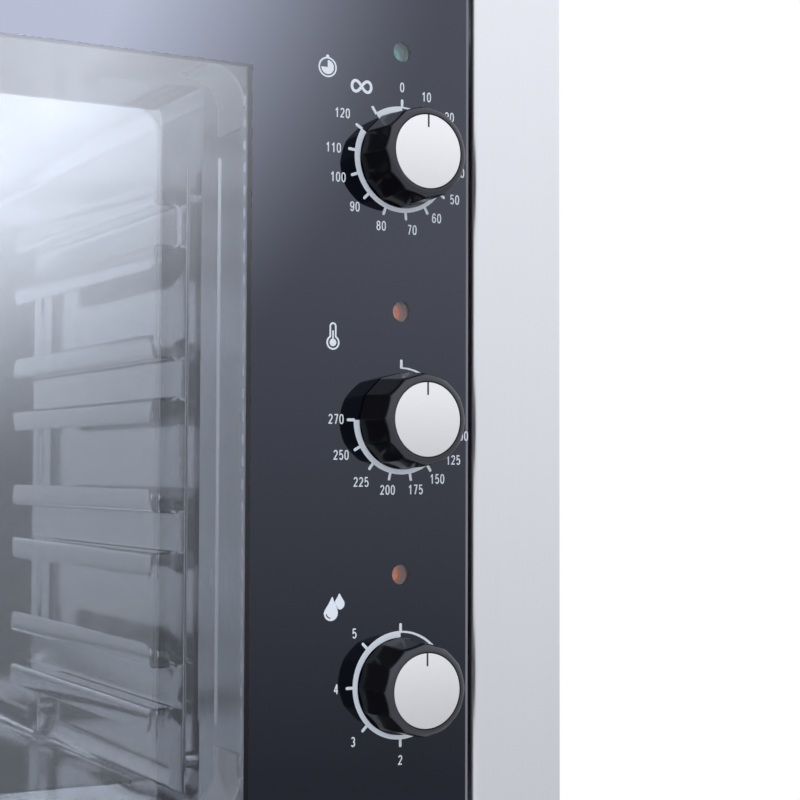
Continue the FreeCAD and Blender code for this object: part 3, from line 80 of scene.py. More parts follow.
class Board:
    """A node tree with short ways to add and join nodes."""

    def __init__(self, tree: bpy.types.NodeTree) -> None:
        """Hold a tree.

        Args:
            tree: The tree to add nodes to.
        """
        self.tree = tree

    def feed(self, node: bpy.types.Node, values: dict[str | int, object]) -> None:
        """Link inputs of a node to other sockets, or set their values.

        Args:
            node: The node.
            values: An output socket or a plain value for each input, by name or number.
        """
        for name, value in values.items():
            if isinstance(value, bpy.types.NodeSocket):
                self.tree.links.new(value, node.inputs[name])
            else:
                node.inputs[name].default_value = value

    def add(
        self, kind: str, values: dict[str | int, object] | None = None, **settings: object,
    ) -> bpy.types.Node:
        """Add a node, set its properties and feed its inputs.

        Args:
            kind: The node's type name.
            values: What its inputs get, by name or number.
            settings: Properties of the node, by name.

        Returns:
            The new node.
        """
        node = self.tree.nodes.new(kind)
        for name, value in settings.items():
            setattr(node, name, value)
        self.feed(node, values or {})
        return node

    def sockets(self, way: str, **kinds: str) -> None:
        """Add sockets to the tree itself.

        Args:
            way: INPUT or OUTPUT.
            kinds: The type of each socket, by its name.
        """
        for name, kind in kinds.items():
            self.tree.interface.new_socket(name=name, in_out=way, socket_type="NodeSocket" + kind)

    def place(self) -> bpy.types.NodeSocket:
        """Where a point is on its own object."""
        return self.add("ShaderNodeTexCoord").outputs["Object"]

    def sum(self, operation: str, *values: object) -> bpy.types.NodeSocket:
        """Add a Math node with these inputs and return its output."""
        return self.add("ShaderNodeMath", dict(enumerate(values)), operation=operation).outputs[0]

    def vector(self, operation: str, *values: object) -> bpy.types.Node:
        """Add a Vector Math node with these inputs and return it."""
        return self.add("ShaderNodeVectorMath", dict(enumerate(values)), operation=operation)

    def scaled(self, colour: object, factor: object) -> bpy.types.NodeSocket:
        """Multiply a colour by a number and return the result."""
        return self.add("ShaderNodeVectorMath", {0: colour, "Scale": factor}, operation="SCALE").outputs[0]

    def mixed(self, factor: object, first: object, second: object) -> bpy.types.NodeSocket:
        """Blend two colours by a factor and return the result."""
        return self.add("ShaderNodeMix", {0: factor, 6: first, 7: second}, data_type="RGBA").outputs[2]

    def noise(self, vector: object, scale: float, detail: float = 3.0) -> bpy.types.NodeSocket:
        """Add a noise texture and return its value."""
        values = {"Vector": vector, "Scale": scale, "Detail": detail}
        return self.add("ShaderNodeTexNoise", values).outputs[0]

    def ranged(
        self, value: object, source: Point = (0.0, 1.0), target: Point = (0.0, 1.0), **settings: object,
    ) -> bpy.types.NodeSocket:
        """Map one range of a value onto another.

        Args:
            value: The value.
            source: The range that it has.
            target: The range that it gets.
            settings: Properties of the node, by name.

        Returns:
            The mapped value.
        """
        values = {"Value": value}
        values |= zip(("From Min", "From Max", "To Min", "To Max"), source + target)
        return self.add("ShaderNodeMapRange", values, **settings).outputs[0]

    def bump(self, height: object, depth: float) -> bpy.types.NodeSocket:
        """Turn a height into a normal, for a relief of some millimetres."""
        values = {"Strength": 1.0, "Distance": depth * MM, "Height": height}
        return self.add("ShaderNodeBump", values).outputs["Normal"]


def new_material(name: str) -> tuple[bpy.types.Material, Board, bpy.types.Node]:
    """Start a material and return it with its board and its shader."""
    material = bpy.data.materials.new(name)
    material.use_nodes = True
    return material, Board(material.node_tree), material.node_tree.nodes["Principled BSDF"]


@dataclass(frozen=True)
class Weave:
    """How the fine and the broad noise of a texture are mixed."""

    detail: float
    broad_scale: float
    broad_share: float


class TextureGroups:
    """The shader groups that several finishes share."""

    def __init__(self) -> None:
        """Build each group once."""
        self.groups = {
            Grain.BRUSHED: self._build(Grain.BRUSHED, Weave(4.0, 9.0, 0.35)),
            Grain.MOTTLE: self._build(Grain.MOTTLE, Weave(2.0, 30.0, 0.6)),
        }

    def _build(self, grain: Grain, weave: Weave) -> bpy.types.NodeTree:
        """Build one group.

        Args:
            grain: Which texture the group makes.
            weave: Its mixture.

        Returns:
            The group.
        """
        tree = bpy.data.node_groups.new(grain.value, "ShaderNodeTree")
        board = Board(tree)
        board.sockets("INPUT", Vector="Vector", Stretch="Vector", Colour="Color")
        board.sockets("INPUT", Depth="Float", Roughness="Float", Spread="Float")
        board.sockets("OUTPUT", Colour="Color", Roughness="Float", Height="Float")
        given = board.add("NodeGroupInput").outputs
        place = board.vector("MULTIPLY", given["Vector"], given["Stretch"]).outputs[0]
        fine = board.noise(place, 1.0, weave.detail)
        broad = board.noise(given["Vector"], weave.broad_scale)
        fine_part = board.sum("MULTIPLY", fine, 1.0 - weave.broad_share)
        broad_part = board.sum("MULTIPLY", broad, weave.broad_share)
        swing = board.sum("SUBTRACT", board.sum("ADD", fine_part, broad_part), 0.5)
        factor = board.sum("ADD", board.sum("MULTIPLY", swing, given["Depth"]), 1.0)
        change = board.sum("MULTIPLY", swing, given["Spread"])
        board.add("NodeGroupOutput", {
            "Colour": board.scaled(given["Colour"], factor),
            "Roughness": board.sum("ADD", given["Roughness"], change),
            "Height": fine,
        })
        return tree


@dataclass(frozen=True)
class Finish:
    """One surface finish: colour, gloss and the texture that breaks it up."""

    name: str
    colour: Colour
    rough: float
    metal: float = 0.0
    grain: Grain = Grain.MOTTLE
    stretch: Corner = (600.0, 600.0, 600.0)
    depth: float = 0.12
    spread: float = 0.12
    relief: float = 0.02
    specular: float = 0.5
    alpha: float = 1.0
    index: float = 1.5
    tint: Colour = (1.0, 1.0, 1.0)

    def material(self, groups: TextureGroups) -> bpy.types.Material:
        """Make the finish's material.

        Args:
            groups: The shared textures.

        Returns:
            The material.
        """
        material, board, shader = new_material(self.name)
        texture = board.add("ShaderNodeGroup", node_tree=groups.groups[self.grain])
        board.feed(texture, {
            "Vector": board.place(),
            "Stretch": self.stretch,
            "Colour": (*self.colour, 1.0),
            "Depth": self.depth,
            "Roughness": self.rough,
            "Spread": self.spread,
        })
        board.feed(shader, {
            "Base Color": texture.outputs["Colour"],
            "Metallic": self.metal,
            "Roughness": texture.outputs["Roughness"] if self.spread > 0.0 else self.rough,
            "Specular IOR Level": self.specular,
            "Specular Tint": (*self.tint, 1.0),
            "IOR": self.index,
            "Alpha": self.alpha,
        })
        if self.relief > 0.0:
            board.feed(shader, {"Normal": board.bump(texture.outputs["Height"], self.relief)})
        return material


@dataclass(frozen=True)
class ClearGlass:
    """Clear float glass that lets shadow rays through."""

    name: str = "clear glass"
    colour: Colour = (0.868, 0.892, 0.922)
    index: float = 1.55
    tint: Colour = (0.88, 0.92, 1.0)
    shade: float = 0.55

    def material(self) -> bpy.types.Material:
        """Make the glass material."""
        material, board, shader = new_material(self.name)
        cloud = board.sum("ADD", board.sum("MULTIPLY", board.noise(board.place(), 3.0, 1.0), 0.04), 0.98)
        board.feed(shader, {
            "Base Color": board.scaled(self.colour, cloud),
            "Roughness": 0.0,
            "IOR": self.index,
            "Transmission Weight": 1.0,
            "Specular Tint": (*self.tint, 1.0),
        })
        shaded = (*(value * self.shade for value in self.colour), 1.0)
        clear = board.add("ShaderNodeBsdfTransparent", {"Color": shaded})
        shadow = board.add("ShaderNodeLightPath").outputs["Is Shadow Ray"]
        mix = board.add("ShaderNodeMixShader", {0: shadow, 1: shader.outputs[0], 2: clear.outputs[0]})
        board.feed(material.node_tree.nodes["Material Output"], {"Surface": mix.outputs[0]})
        return material


@dataclass(frozen=True)
class KnobPlastic:
    """Glossy black plastic that turns to a satin grey on the rounded rim."""

    name: str = "knob plastic"
    body: Colour = (0.006, 0.006, 0.008)
    rim: Colour = (0.024, 0.027, 0.037)
    rough: Point = (0.18, 0.34)
    gloss: Point = (0.05, 0.5)
    stretch: Corner = (2500.0, 2500.0, 2500.0)
    depth: float = 0.25
    spread: float = 0.08
    relief: float = 0.004

    def material(self, groups: TextureGroups) -> bpy.types.Material:
        """Make the knob's material from the rim attribute of its mesh.

        Args:
            groups: The shared textures.

        Returns:
            The material.
        """
        material, board, shader = new_material(self.name)
        rim = board.add("ShaderNodeAttribute", attribute_name="rim").outputs["Fac"]
        texture = board.add("ShaderNodeGroup", node_tree=groups.groups[Grain.MOTTLE])
        board.feed(texture, {
            "Vector": board.place(),
            "Stretch": self.stretch,
            "Colour": board.mixed(rim, (*self.body, 1.0), (*self.rim, 1.0)),
            "Depth": self.depth,
            "Roughness": board.ranged(rim, target=self.rough),
            "Spread": self.spread,
        })
        height = board.sum("MULTIPLY", texture.outputs["Height"], rim)
        board.feed(shader, {
            "Base Color": texture.outputs["Colour"],
            "Roughness": texture.outputs["Roughness"],
            "Specular IOR Level": board.ranged(rim, target=self.gloss),
            "Normal": board.bump(height, self.relief),
        })
        return material


@dataclass(frozen=True)
class LensPlastic:
    """Coloured lens plastic with a soft glow."""

    name: str
    colour: Colour
    glow: float = 0.30
    rough: float = 0.18
    coat: float = 0.4

    def material(self) -> bpy.types.Material:
        """Make the lens material, its colour and glow varied by a noise texture."""
        material, board, shader = new_material(self.name)
        cloud = board.sum("ADD", board.sum("MULTIPLY", board.noise(board.place(), 420.0, 2.0), 0.9), 0.55)
        paint = board.scaled(self.colour, cloud)
        board.feed(shader, {
            "Base Color": paint,
            "Roughness": self.rough,
            "Coat Weight": self.coat,
            "Emission Color": paint,
            "Emission Strength": self.glow,
        })
        return material


class Sketch:
    """Corners and faces of one piece, in millimetres."""

    def __init__(self, name: str) -> None:
        """Start an empty piece.

        Args:
            name: The piece's name.
        """
        self.name = name
        self.points: list[Corner] = []
        self.faces: list[tuple[int, ...]] = []
        self.slots: list[int] = []

    def loop(self, corners: Iterable[Corner]) -> list[int]:
        """Add corners and return their numbers."""
        start = len(self.points)
        self.points.extend(tuple(corner) for corner in corners)
        return list(range(start, len(self.points)))

    def flat(self, ring: Iterable[Point], y: float) -> list[int]:
        """Add the corners of an upright ring of (x, z) points and return their numbers."""
        return self.loop((x, y, z) for x, z in ring)

    def face(self, ring: Sequence[int], slot: int = 0) -> None:
        """Add one face by its corners' numbers, with its material slot."""
        self.faces.append(tuple(ring))
        self.slots.append(slot)

    def bridge(self, first: Sequence[int], second: Sequence[int], slot: int = 0) -> None:
        """Join two closed loops with faces, where a loop of one corner is a pole.

        Args:
            first: One loop.
            second: The other loop.
            slot: The faces' material slot.
        """
        count = max(len(first), len(second))
        for step in range(count):
            after = (step + 1) % count
            ring = [first[step % len(first)]]
            if len(first) > 1:
                ring.append(first[after])
            if len(second) > 1:
                ring.append(second[after])
            ring.append(second[step % len(second)])
            self.face(ring, slot)

    def chain(self, loops: Sequence[Sequence[int]], slot: int = 0) -> None:
        """Bridge each loop to the next."""
        for first, second in zip(loops, loops[1:]):
            self.bridge(first, second, slot)

    def fill(self, rings: Sequence[Sequence[int]], slot: int = 0) -> None:
        """Fill a flat outline that may have holes.

        Args:
            rings: The outline, then its holes.
            slot: The faces' material slot.
        """
        numbers = [number for ring in rings for number in ring]
        shapes = [[Vector(self.points[number]) for number in ring] for ring in rings]
        for triangle in tessellate_polygon(shapes):
            self.face([numbers[corner] for corner in triangle], slot)

    def slab(self, rings: Sequence[Ring], front: float, back: float, slot: int = 0) -> None:
        """Add a flat upright plate.

        Args:
            rings: Its outline as (x, z) points, then its holes.
            front: Y of the front face.
            back: Y of the back face.
            slot: The faces' material slot.
        """
        near = [self.flat(ring, front) for ring in rings]
        far = [self.flat(ring, back) for ring in rings]
        self.fill(near, slot)
        self.fill(far, slot)
        for one, other in zip(near, far):
            self.bridge(one, other, slot)

    def stroke(self, line: Sequence[Point], width: float, closed: bool, front: float, back: float) -> None:
        """Add a printed stroke of even width.

        Args:
            line: Its middle line as (x, z) points.
            width: Its width.
            closed: True where the line runs back to its start.
            front: Y of the front face.
            back: Y of the back face.
        """
        spots = [Vector(spot) for spot in line]
        sides: list[Ring] = [[], []]
        for n, spot in enumerate(spots):
            before = spots[n - 1] if n or closed else spot
            after = spots[(n + 1) % len(spots)] if n + 1 < len(spots) or closed else spot
            into = (spot - before if spot != before else after - spot).normalized()
            out = (after - spot if after != spot else into).normalized()
            mitre = Vector((into.y + out.y, -into.x - out.x)) / max(0.5, 1.0 + into.dot(out))
            for side, sign in zip(sides, (0.5, -0.5)):
                side.append(tuple(spot + mitre * (sign * width)))
        if not closed:
            self.slab([sides[0] + sides[1][::-1]], front, back)
            return
        edges = [(sides[0], front), (sides[1], front), (sides[1], back), (sides[0], back)]
        loops = [self.flat(ring, y) for ring, y in edges]
        self.chain(loops + loops[:1])

    def turn(self, line: Sequence[Point], x: float, z: float, steps: int = 48) -> None:
        """Turn a profile about an axis that runs along Y.

        Args:
            line: The profile as (radius, y) points, from pole to pole or round to its start.
            x: X of the axis.
            z: Z of the axis.
            steps: The number of steps round the axis.
        """
        rings = []
        for radius, y in line:
            rings.append(self.flat(circle(x, z, radius, steps) if radius > 0.0 else [(x, z)], y))
        self.chain(rings)
        if line[0][0] > 0.0:
            self.bridge(rings[-1], rings[0])

    def take(self, mesh: bpy.types.Mesh, place: Matrix) -> None:
        """Add a mesh that is in metres, at a place in metres."""
        start = len(self.points)
        for vertex in mesh.vertices:
            x, y, z = place @ vertex.co
            self.points.append((x / MM, y / MM, z / MM))
        for polygon in mesh.polygons:
            self.face([start + number for number in polygon.vertices])

    def mesh(self) -> bpy.types.Mesh:
        """Make the plain mesh, in metres."""
        mesh = bpy.data.meshes.new(self.name)
        mesh.from_pydata([tuple(value * MM for value in point) for point in self.points], [], self.faces)
        return mesh

    def piece(
        self,
        materials: Sequence[bpy.types.Material],
        body: str,
        slot: str,
        replaces: Sequence[str] = (),
        crease: float = 35.0,
        smooth: bool = True,
    ) -> bpy.types.Object:
        """Make the piece and set it on its body.

        Args:
            materials: Its materials, in slot order.
            body: The body that it moves with.
            slot: The record's slot of its finish; not used.
            replaces: The nodes that it stands for.
            crease: The angle past which an edge is sharp, in degrees.
            smooth: False for a piece that is all flat faces.

        Returns:
            The finished object.
        """
        mesh = self.mesh()
        mesh.polygons.foreach_set("material_index", self.slots)
        for material in materials:
            mesh.materials.append(material)
        shape = bmesh.new()
        shape.from_mesh(mesh)
        bmesh.ops.remove_doubles(shape, verts=shape.verts, dist=1e-7)
        bmesh.ops.recalc_face_normals(shape, faces=shape.faces)
        shape.to_mesh(mesh)
        shape.free()
        mesh.polygons.foreach_set("use_smooth", [smooth] * len(mesh.polygons))
        if smooth:
            mesh.set_sharp_from_angle(angle=math.radians(crease))
        piece = bpy.data.objects.new(self.name, mesh)
        bpy.context.scene.collection.objects.link(piece)
        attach(piece, body)
        if replaces:
            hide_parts(*replaces)
        LOG.info("piece %s on %s: %d faces", self.name, body, len(mesh.polygons))
        return piece


class Repeater:
    """Geometry node trees that set a pattern along a row or on scattered points."""

    def __init__(self) -> None:
        """Build both trees."""
        self.scatter_tree = self._build("scattered pattern", False)
        self.row_tree = self._build("pattern in a row", True)

    def _build(self, name: str, row: bool) -> bpy.types.NodeTree:
        """Build one tree.

        Args:
            name: The tree's name.
            row: True for a straight row, False for the carrier's own points.

        Returns:
            The tree.
        """
        tree = bpy.data.node_groups.new(name, "GeometryNodeTree")
        board = Board(tree)
        board.sockets("INPUT", Geometry="Geometry", Pattern="Object", Material="Material")
        board.sockets("OUTPUT", Geometry="Geometry")
        if row:
            board.sockets("INPUT", Count="Int", Step="Vector")
        given = board.add("NodeGroupInput").outputs
        pattern = board.add("GeometryNodeObjectInfo", {"Object": given["Pattern"]})
        copies = board.add("GeometryNodeInstanceOnPoints", {"Instance": pattern.outputs["Geometry"]})
        if row:
            line = board.add("GeometryNodeMeshLine", mode="OFFSET")
            board.feed(line, {"Count": given["Count"], "Offset": given["Step"]})
            board.feed(copies, {"Points": line.outputs["Mesh"]})
        else:
            turn = board.add("GeometryNodeInputNamedAttribute", {"Name": "turn"}, data_type="FLOAT_VECTOR")
            rotation = board.add("FunctionNodeEulerToRotation", {0: turn.outputs["Attribute"]})
            board.feed(copies, {"Points": given["Geometry"], "Rotation": rotation.outputs[0]})
        real = board.add("GeometryNodeRealizeInstances", {0: copies.outputs[0]})
        look = {"Geometry": real.outputs[0], "Material": given["Material"]}
        dressed = board.add("GeometryNodeSetMaterial", look)
        board.add("NodeGroupOutput", {0: dressed.outputs[0]})
        return tree

    def _result(
        self, tree: bpy.types.NodeTree, carrier: bpy.types.Mesh, pattern: Sketch, values: dict[str, object],
    ) -> bpy.types.Mesh:
        """Run a tree.

        Args:
            tree: The tree to run.
            carrier: The mesh that it runs on.
            pattern: The repeated shape, drawn round the origin.
            values: The tree's other inputs, by name.

        Returns:
            The plain mesh that it gives.
        """
        source = bpy.data.objects.new(pattern.name, pattern.mesh())
        holder = bpy.data.objects.new("holder", carrier)
        for item in (source, holder):
            bpy.context.scene.collection.objects.link(item)
        modifier = holder.modifiers.new("repeat", "NODES")
        modifier.node_group = tree
        given = {"Pattern": source, **values}
        for socket in tree.interface.items_tree:
            if socket.in_out == "INPUT" and socket.name in given:
                modifier[socket.identifier] = given[socket.name]
        graph = bpy.context.evaluated_depsgraph_get()
        mesh = bpy.data.meshes.new_from_object(holder.evaluated_get(graph))
        holder.modifiers.remove(modifier)
        for item in (source, holder):
            bpy.data.objects.remove(item)
        return mesh

    def scatter(
        self, places: Sequence[tuple[Corner, Corner]], pattern: Sketch, material: bpy.types.Material,
    ) -> bpy.types.Mesh:
        """Set a pattern on points.

        Args:
            places: Each point in millimetres with its turn as Euler angles.
            pattern: The shape, drawn round the origin.
            material: The result's material.

        Returns:
            The mesh, in metres.
        """
        carrier = bpy.data.meshes.new("points")
        carrier.from_pydata([tuple(value * MM for value in point) for point, _ in places], [], [])
        turns = carrier.attributes.new("turn", "FLOAT_VECTOR", "POINT")
        turns.data.foreach_set("vector", [value for _, turn in places for value in turn])
        return self._result(self.scatter_tree, carrier, pattern, {"Material": material})

    def row(self, count: int, step: Corner, pattern: Sketch, material: bpy.types.Material) -> bpy.types.Mesh:
        """Set a pattern in a straight row that starts at the origin.

        Args:
            count: How many there are.
            step: From one to the next, in millimetres.
            pattern: The shape, drawn round the origin.
            material: The result's material.

        Returns:
            The mesh, in metres.
        """
        carrier = bpy.data.meshes.new("row")
        values = {"Material": material, "Count": count, "Step": tuple(value * MM for value in step)}
        return self._result(self.row_tree, carrier, pattern, values)


def circle(x: float, z: float, radius: float, steps: int = 48) -> Ring:
    """Points of a circle as (x, z)."""
    angles = [2 * math.pi * n / steps for n in range(steps)]
    return [(x + radius * math.sin(a), z + radius * math.cos(a)) for a in angles]


def rectangle(x0: float, x1: float, z0: float, z1: float) -> Ring:
    """Corners of an upright rectangle as (x, z)."""
    return [(x0, z0), (x1, z0), (x1, z1), (x0, z1)]


def bow(x: float, z: float, wide: float, tall: float, first: float, last: float) -> Ring:
    """Points of an elliptic arc as (x, z), by degrees from the right."""
    angles = [math.radians(first + (last - first) * n / 18) for n in range(19)]
    return [(x + wide * math.cos(a), z + tall * math.sin(a)) for a in angles]


def limit(value: float) -> float:
    """Keep a share between 0 and 1."""
    return min(1.0, max(0.0, value))


def box(node: str) -> tuple[Vector, Vector]:
    """Lowest and highest corner of a node in millimetres."""
    low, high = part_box(node)
    return low / MM, high / MM


def centre(node: str) -> Vector:
    """Middle of a node's box in millimetres."""
    low, high = box(node)
    return (low + high) * 0.5


def solid_boxes(node: bpy.types.Object) -> list[tuple[Vector, Vector]]:
    """Find the boxes of a node's separate solids.

    Args:
        node: The node's object.

    Returns:
        Lowest and highest corner of each solid, in millimetres.
    """
    shape = bmesh.new()
    shape.from_mesh(node.data)
    bmesh.ops.remove_doubles(shape, verts=shape.verts, dist=1e-6)
    boxes = []
    seen: set[bmesh.types.BMVert] = set()
    for first in shape.verts:
        if first in seen:
            continue
        seen.add(first)
        group = [first]
        for vertex in group:
            for edge in vertex.link_edges:
                other = edge.other_vert(vertex)
                if other not in seen:
                    seen.add(other)
                    group.append(other)
        axes = list(zip(*(vertex.co / MM for vertex in group)))
        boxes.append((Vector([min(axis) for axis in axes]), Vector([max(axis) for axis in axes])))
    shape.free()
    return boxes


@dataclass
class Palette:
    """Every material of the oven: by the record's slots, and extra ones by name."""

    groups: TextureGroups
    slots: dict[str, bpy.types.Material] = field(default_factory=dict)
    extra: dict[str, bpy.types.Material] = field(default_factory=dict)

    def finishes(self) -> dict[str, Finish]:
        """Plain finishes, by slot."""
        brushed = {"metal": 1.0, "grain": Grain.BRUSHED, "relief": 0.004}
        upright = {"stretch": (1400.0, 1400.0, 14.0), **brushed}
        level = {"stretch": (14.0, 1400.0, 1400.0), **brushed}
        fine = {"depth": 0.08, "spread": 0.08}
        return {
            "casing_steel": Finish(
                "casing steel", (0.755, 0.762, 0.80), 0.34, depth=0.07, spread=0.10, **upright,
            ),
            "back_steel": Finish("back steel", (0.60, 0.61, 0.63), 0.40, depth=0.10, **level),
            "screw_steel": Finish("screw steel", (0.62, 0.63, 0.65), 0.24, 1.0, depth=0.10, relief=0.004),
            "foot_plastic": Finish(
                "foot plastic", (0.022, 0.022, 0.024), 0.48, stretch=(900.0,) * 3, relief=0.05,
            ),
            "frame_steel": Finish("frame steel", (0.66, 0.665, 0.68), 0.30, **level),
            "seal_rubber": Finish(
                "seal rubber", (0.06, 0.062, 0.068), 0.62, stretch=(700.0,) * 3, relief=0.04,
            ),
            "cavity_steel": Finish("cavity steel", (0.62, 0.626, 0.645), 0.13, **fine, **level),
            "mineral_wool": Finish(
                "mineral wool", (0.46, 0.40, 0.28), 0.95, stretch=(500.0, 90.0, 500.0), depth=0.6, relief=0.5,
            ),
            "rack_steel": Finish(
                "rack steel", (0.58, 0.586, 0.605), 0.10, 1.0, depth=0.08, spread=0.10, relief=0.003,
            ),
            "fan_steel": Finish("fan steel", (0.62, 0.63, 0.65), 0.34, 1.0, depth=0.14, relief=0.006),
            "motor_paint": Finish("motor paint", (0.05, 0.052, 0.058), 0.42, depth=0.2, relief=0.03),
            "bracket_steel": Finish(
                "bracket zinc", (0.56, 0.57, 0.58), 0.38, 1.0, stretch=(180.0,) * 3, depth=0.22,
            ),
            "heater_sheath": Finish("heater sheath", (0.20, 0.18, 0.165), 0.45, 0.8, depth=0.5, relief=0.01),
            "valve_plastic": Finish("pale plastic", (0.62, 0.62, 0.62), 0.40, depth=0.08),
            "pipe_steel": Finish("pipe steel", (0.66, 0.67, 0.69), 0.22, 1.0, depth=0.10, relief=0.003),
            "lamp_metal": Finish("lamp metal", (0.60, 0.60, 0.62), 0.32, 1.0, relief=0.004),
            "black_enamel": Finish(
                "black enamel", (0.005, 0.006, 0.014), 0.35, depth=0.3, relief=0.0, specular=0.0,
            ),
            "door_steel": Finish("door steel", (0.62, 0.632, 0.66), 0.18, **fine, **upright),
            "strip_steel": Finish("strip steel", (0.63, 0.637, 0.675), 0.18, spread=0.08, **upright),
            "electric_plastic": Finish("dark plastic", (0.035, 0.036, 0.04), 0.38, depth=0.15, relief=0.03),
            "magnet": Finish("magnet ferrite", (0.045, 0.043, 0.042), 0.55, depth=0.3, relief=0.03),
            "handle_steel": Finish("handle steel", (0.70, 0.705, 0.72), 0.26, depth=0.08, **upright),
            "cap_metal": Finish(
                "cap metal", (0.80, 0.80, 0.815), 0.38, 1.0, stretch=(260.0,) * 3, depth=0.05, spread=0.06,
                relief=0.002,
            ),
            "clip_silicone": Finish(
                "clear silicone", (0.80, 0.82, 0.85), 0.16, depth=0.08, relief=0.01, alpha=0.3,
            ),
            "spindle_metal": Finish("spindle metal", (0.58, 0.58, 0.57), 0.28, 1.0, depth=0.1, relief=0.003),
        }

    def extras(self) -> tuple[Finish, ...]:
        """Finishes that no slot of the record has."""
        across = {"stretch": (1400.0, 14.0, 1400.0), "metal": 1.0, "grain": Grain.BRUSHED}
        ink = {"stretch": (1500.0,) * 3, "relief": 0.0}
        return (
            Finish(
                "cover steel", (0.74, 0.742, 0.755), 0.34, depth=0.07, spread=0.10, relief=0.004, **across,
            ),
            Finish("white print", (0.73, 0.79, 0.87), 0.5, depth=0.10, **ink),
            Finish("black ink", (0.03, 0.03, 0.034), 0.4, depth=0.3, **ink),
            Finish(
                "printed glass", (0.003, 0.0036, 0.008), 0.0, depth=0.3, spread=0.0, relief=0.0, index=1.68,
                tint=(0.76, 0.815, 1.0),
            ),
            Finish("ground edge", (0.17, 0.17, 0.20), 0.45, stretch=(900.0,) * 3, depth=0.2),
        )

    def mix(self) -> None:
        """Make every material."""
        for slot, finish in self.finishes().items():
            self.slots[slot] = finish.material(self.groups)
        for finish in self.extras():
            self.extra[finish.name] = finish.material(self.groups)
        self.slots["clear_glass"] = ClearGlass().material()
        self.extra["coated glass"] = ClearGlass("coated glass", index=1.95, tint=(0.9, 0.94, 1.0)).material()
        self.slots["knob_plastic"] = KnobPlastic().material(self.groups)
        self.slots["green_plastic"] = LensPlastic("green lens plastic", (0.13, 0.42, 0.38)).material()
        self.slots["amber_plastic"] = LensPlastic("amber lens plastic", (0.80, 0.24, 0.08)).material()

    def dress(self, nodes: dict[str, bpy.types.Object]) -> None:
        """Give each node of the frame the finish of its slot.

        Args:
            nodes: The frame's nodes.
        """
        for name, node in nodes.items():
            material = self.slots[node.data.materials[0].name.split(".")[0]]
            if name in ("top_cover", "base_pan"):
                material = self.extra["cover steel"]
            node.data.materials.clear()
            node.data.materials.append(material)


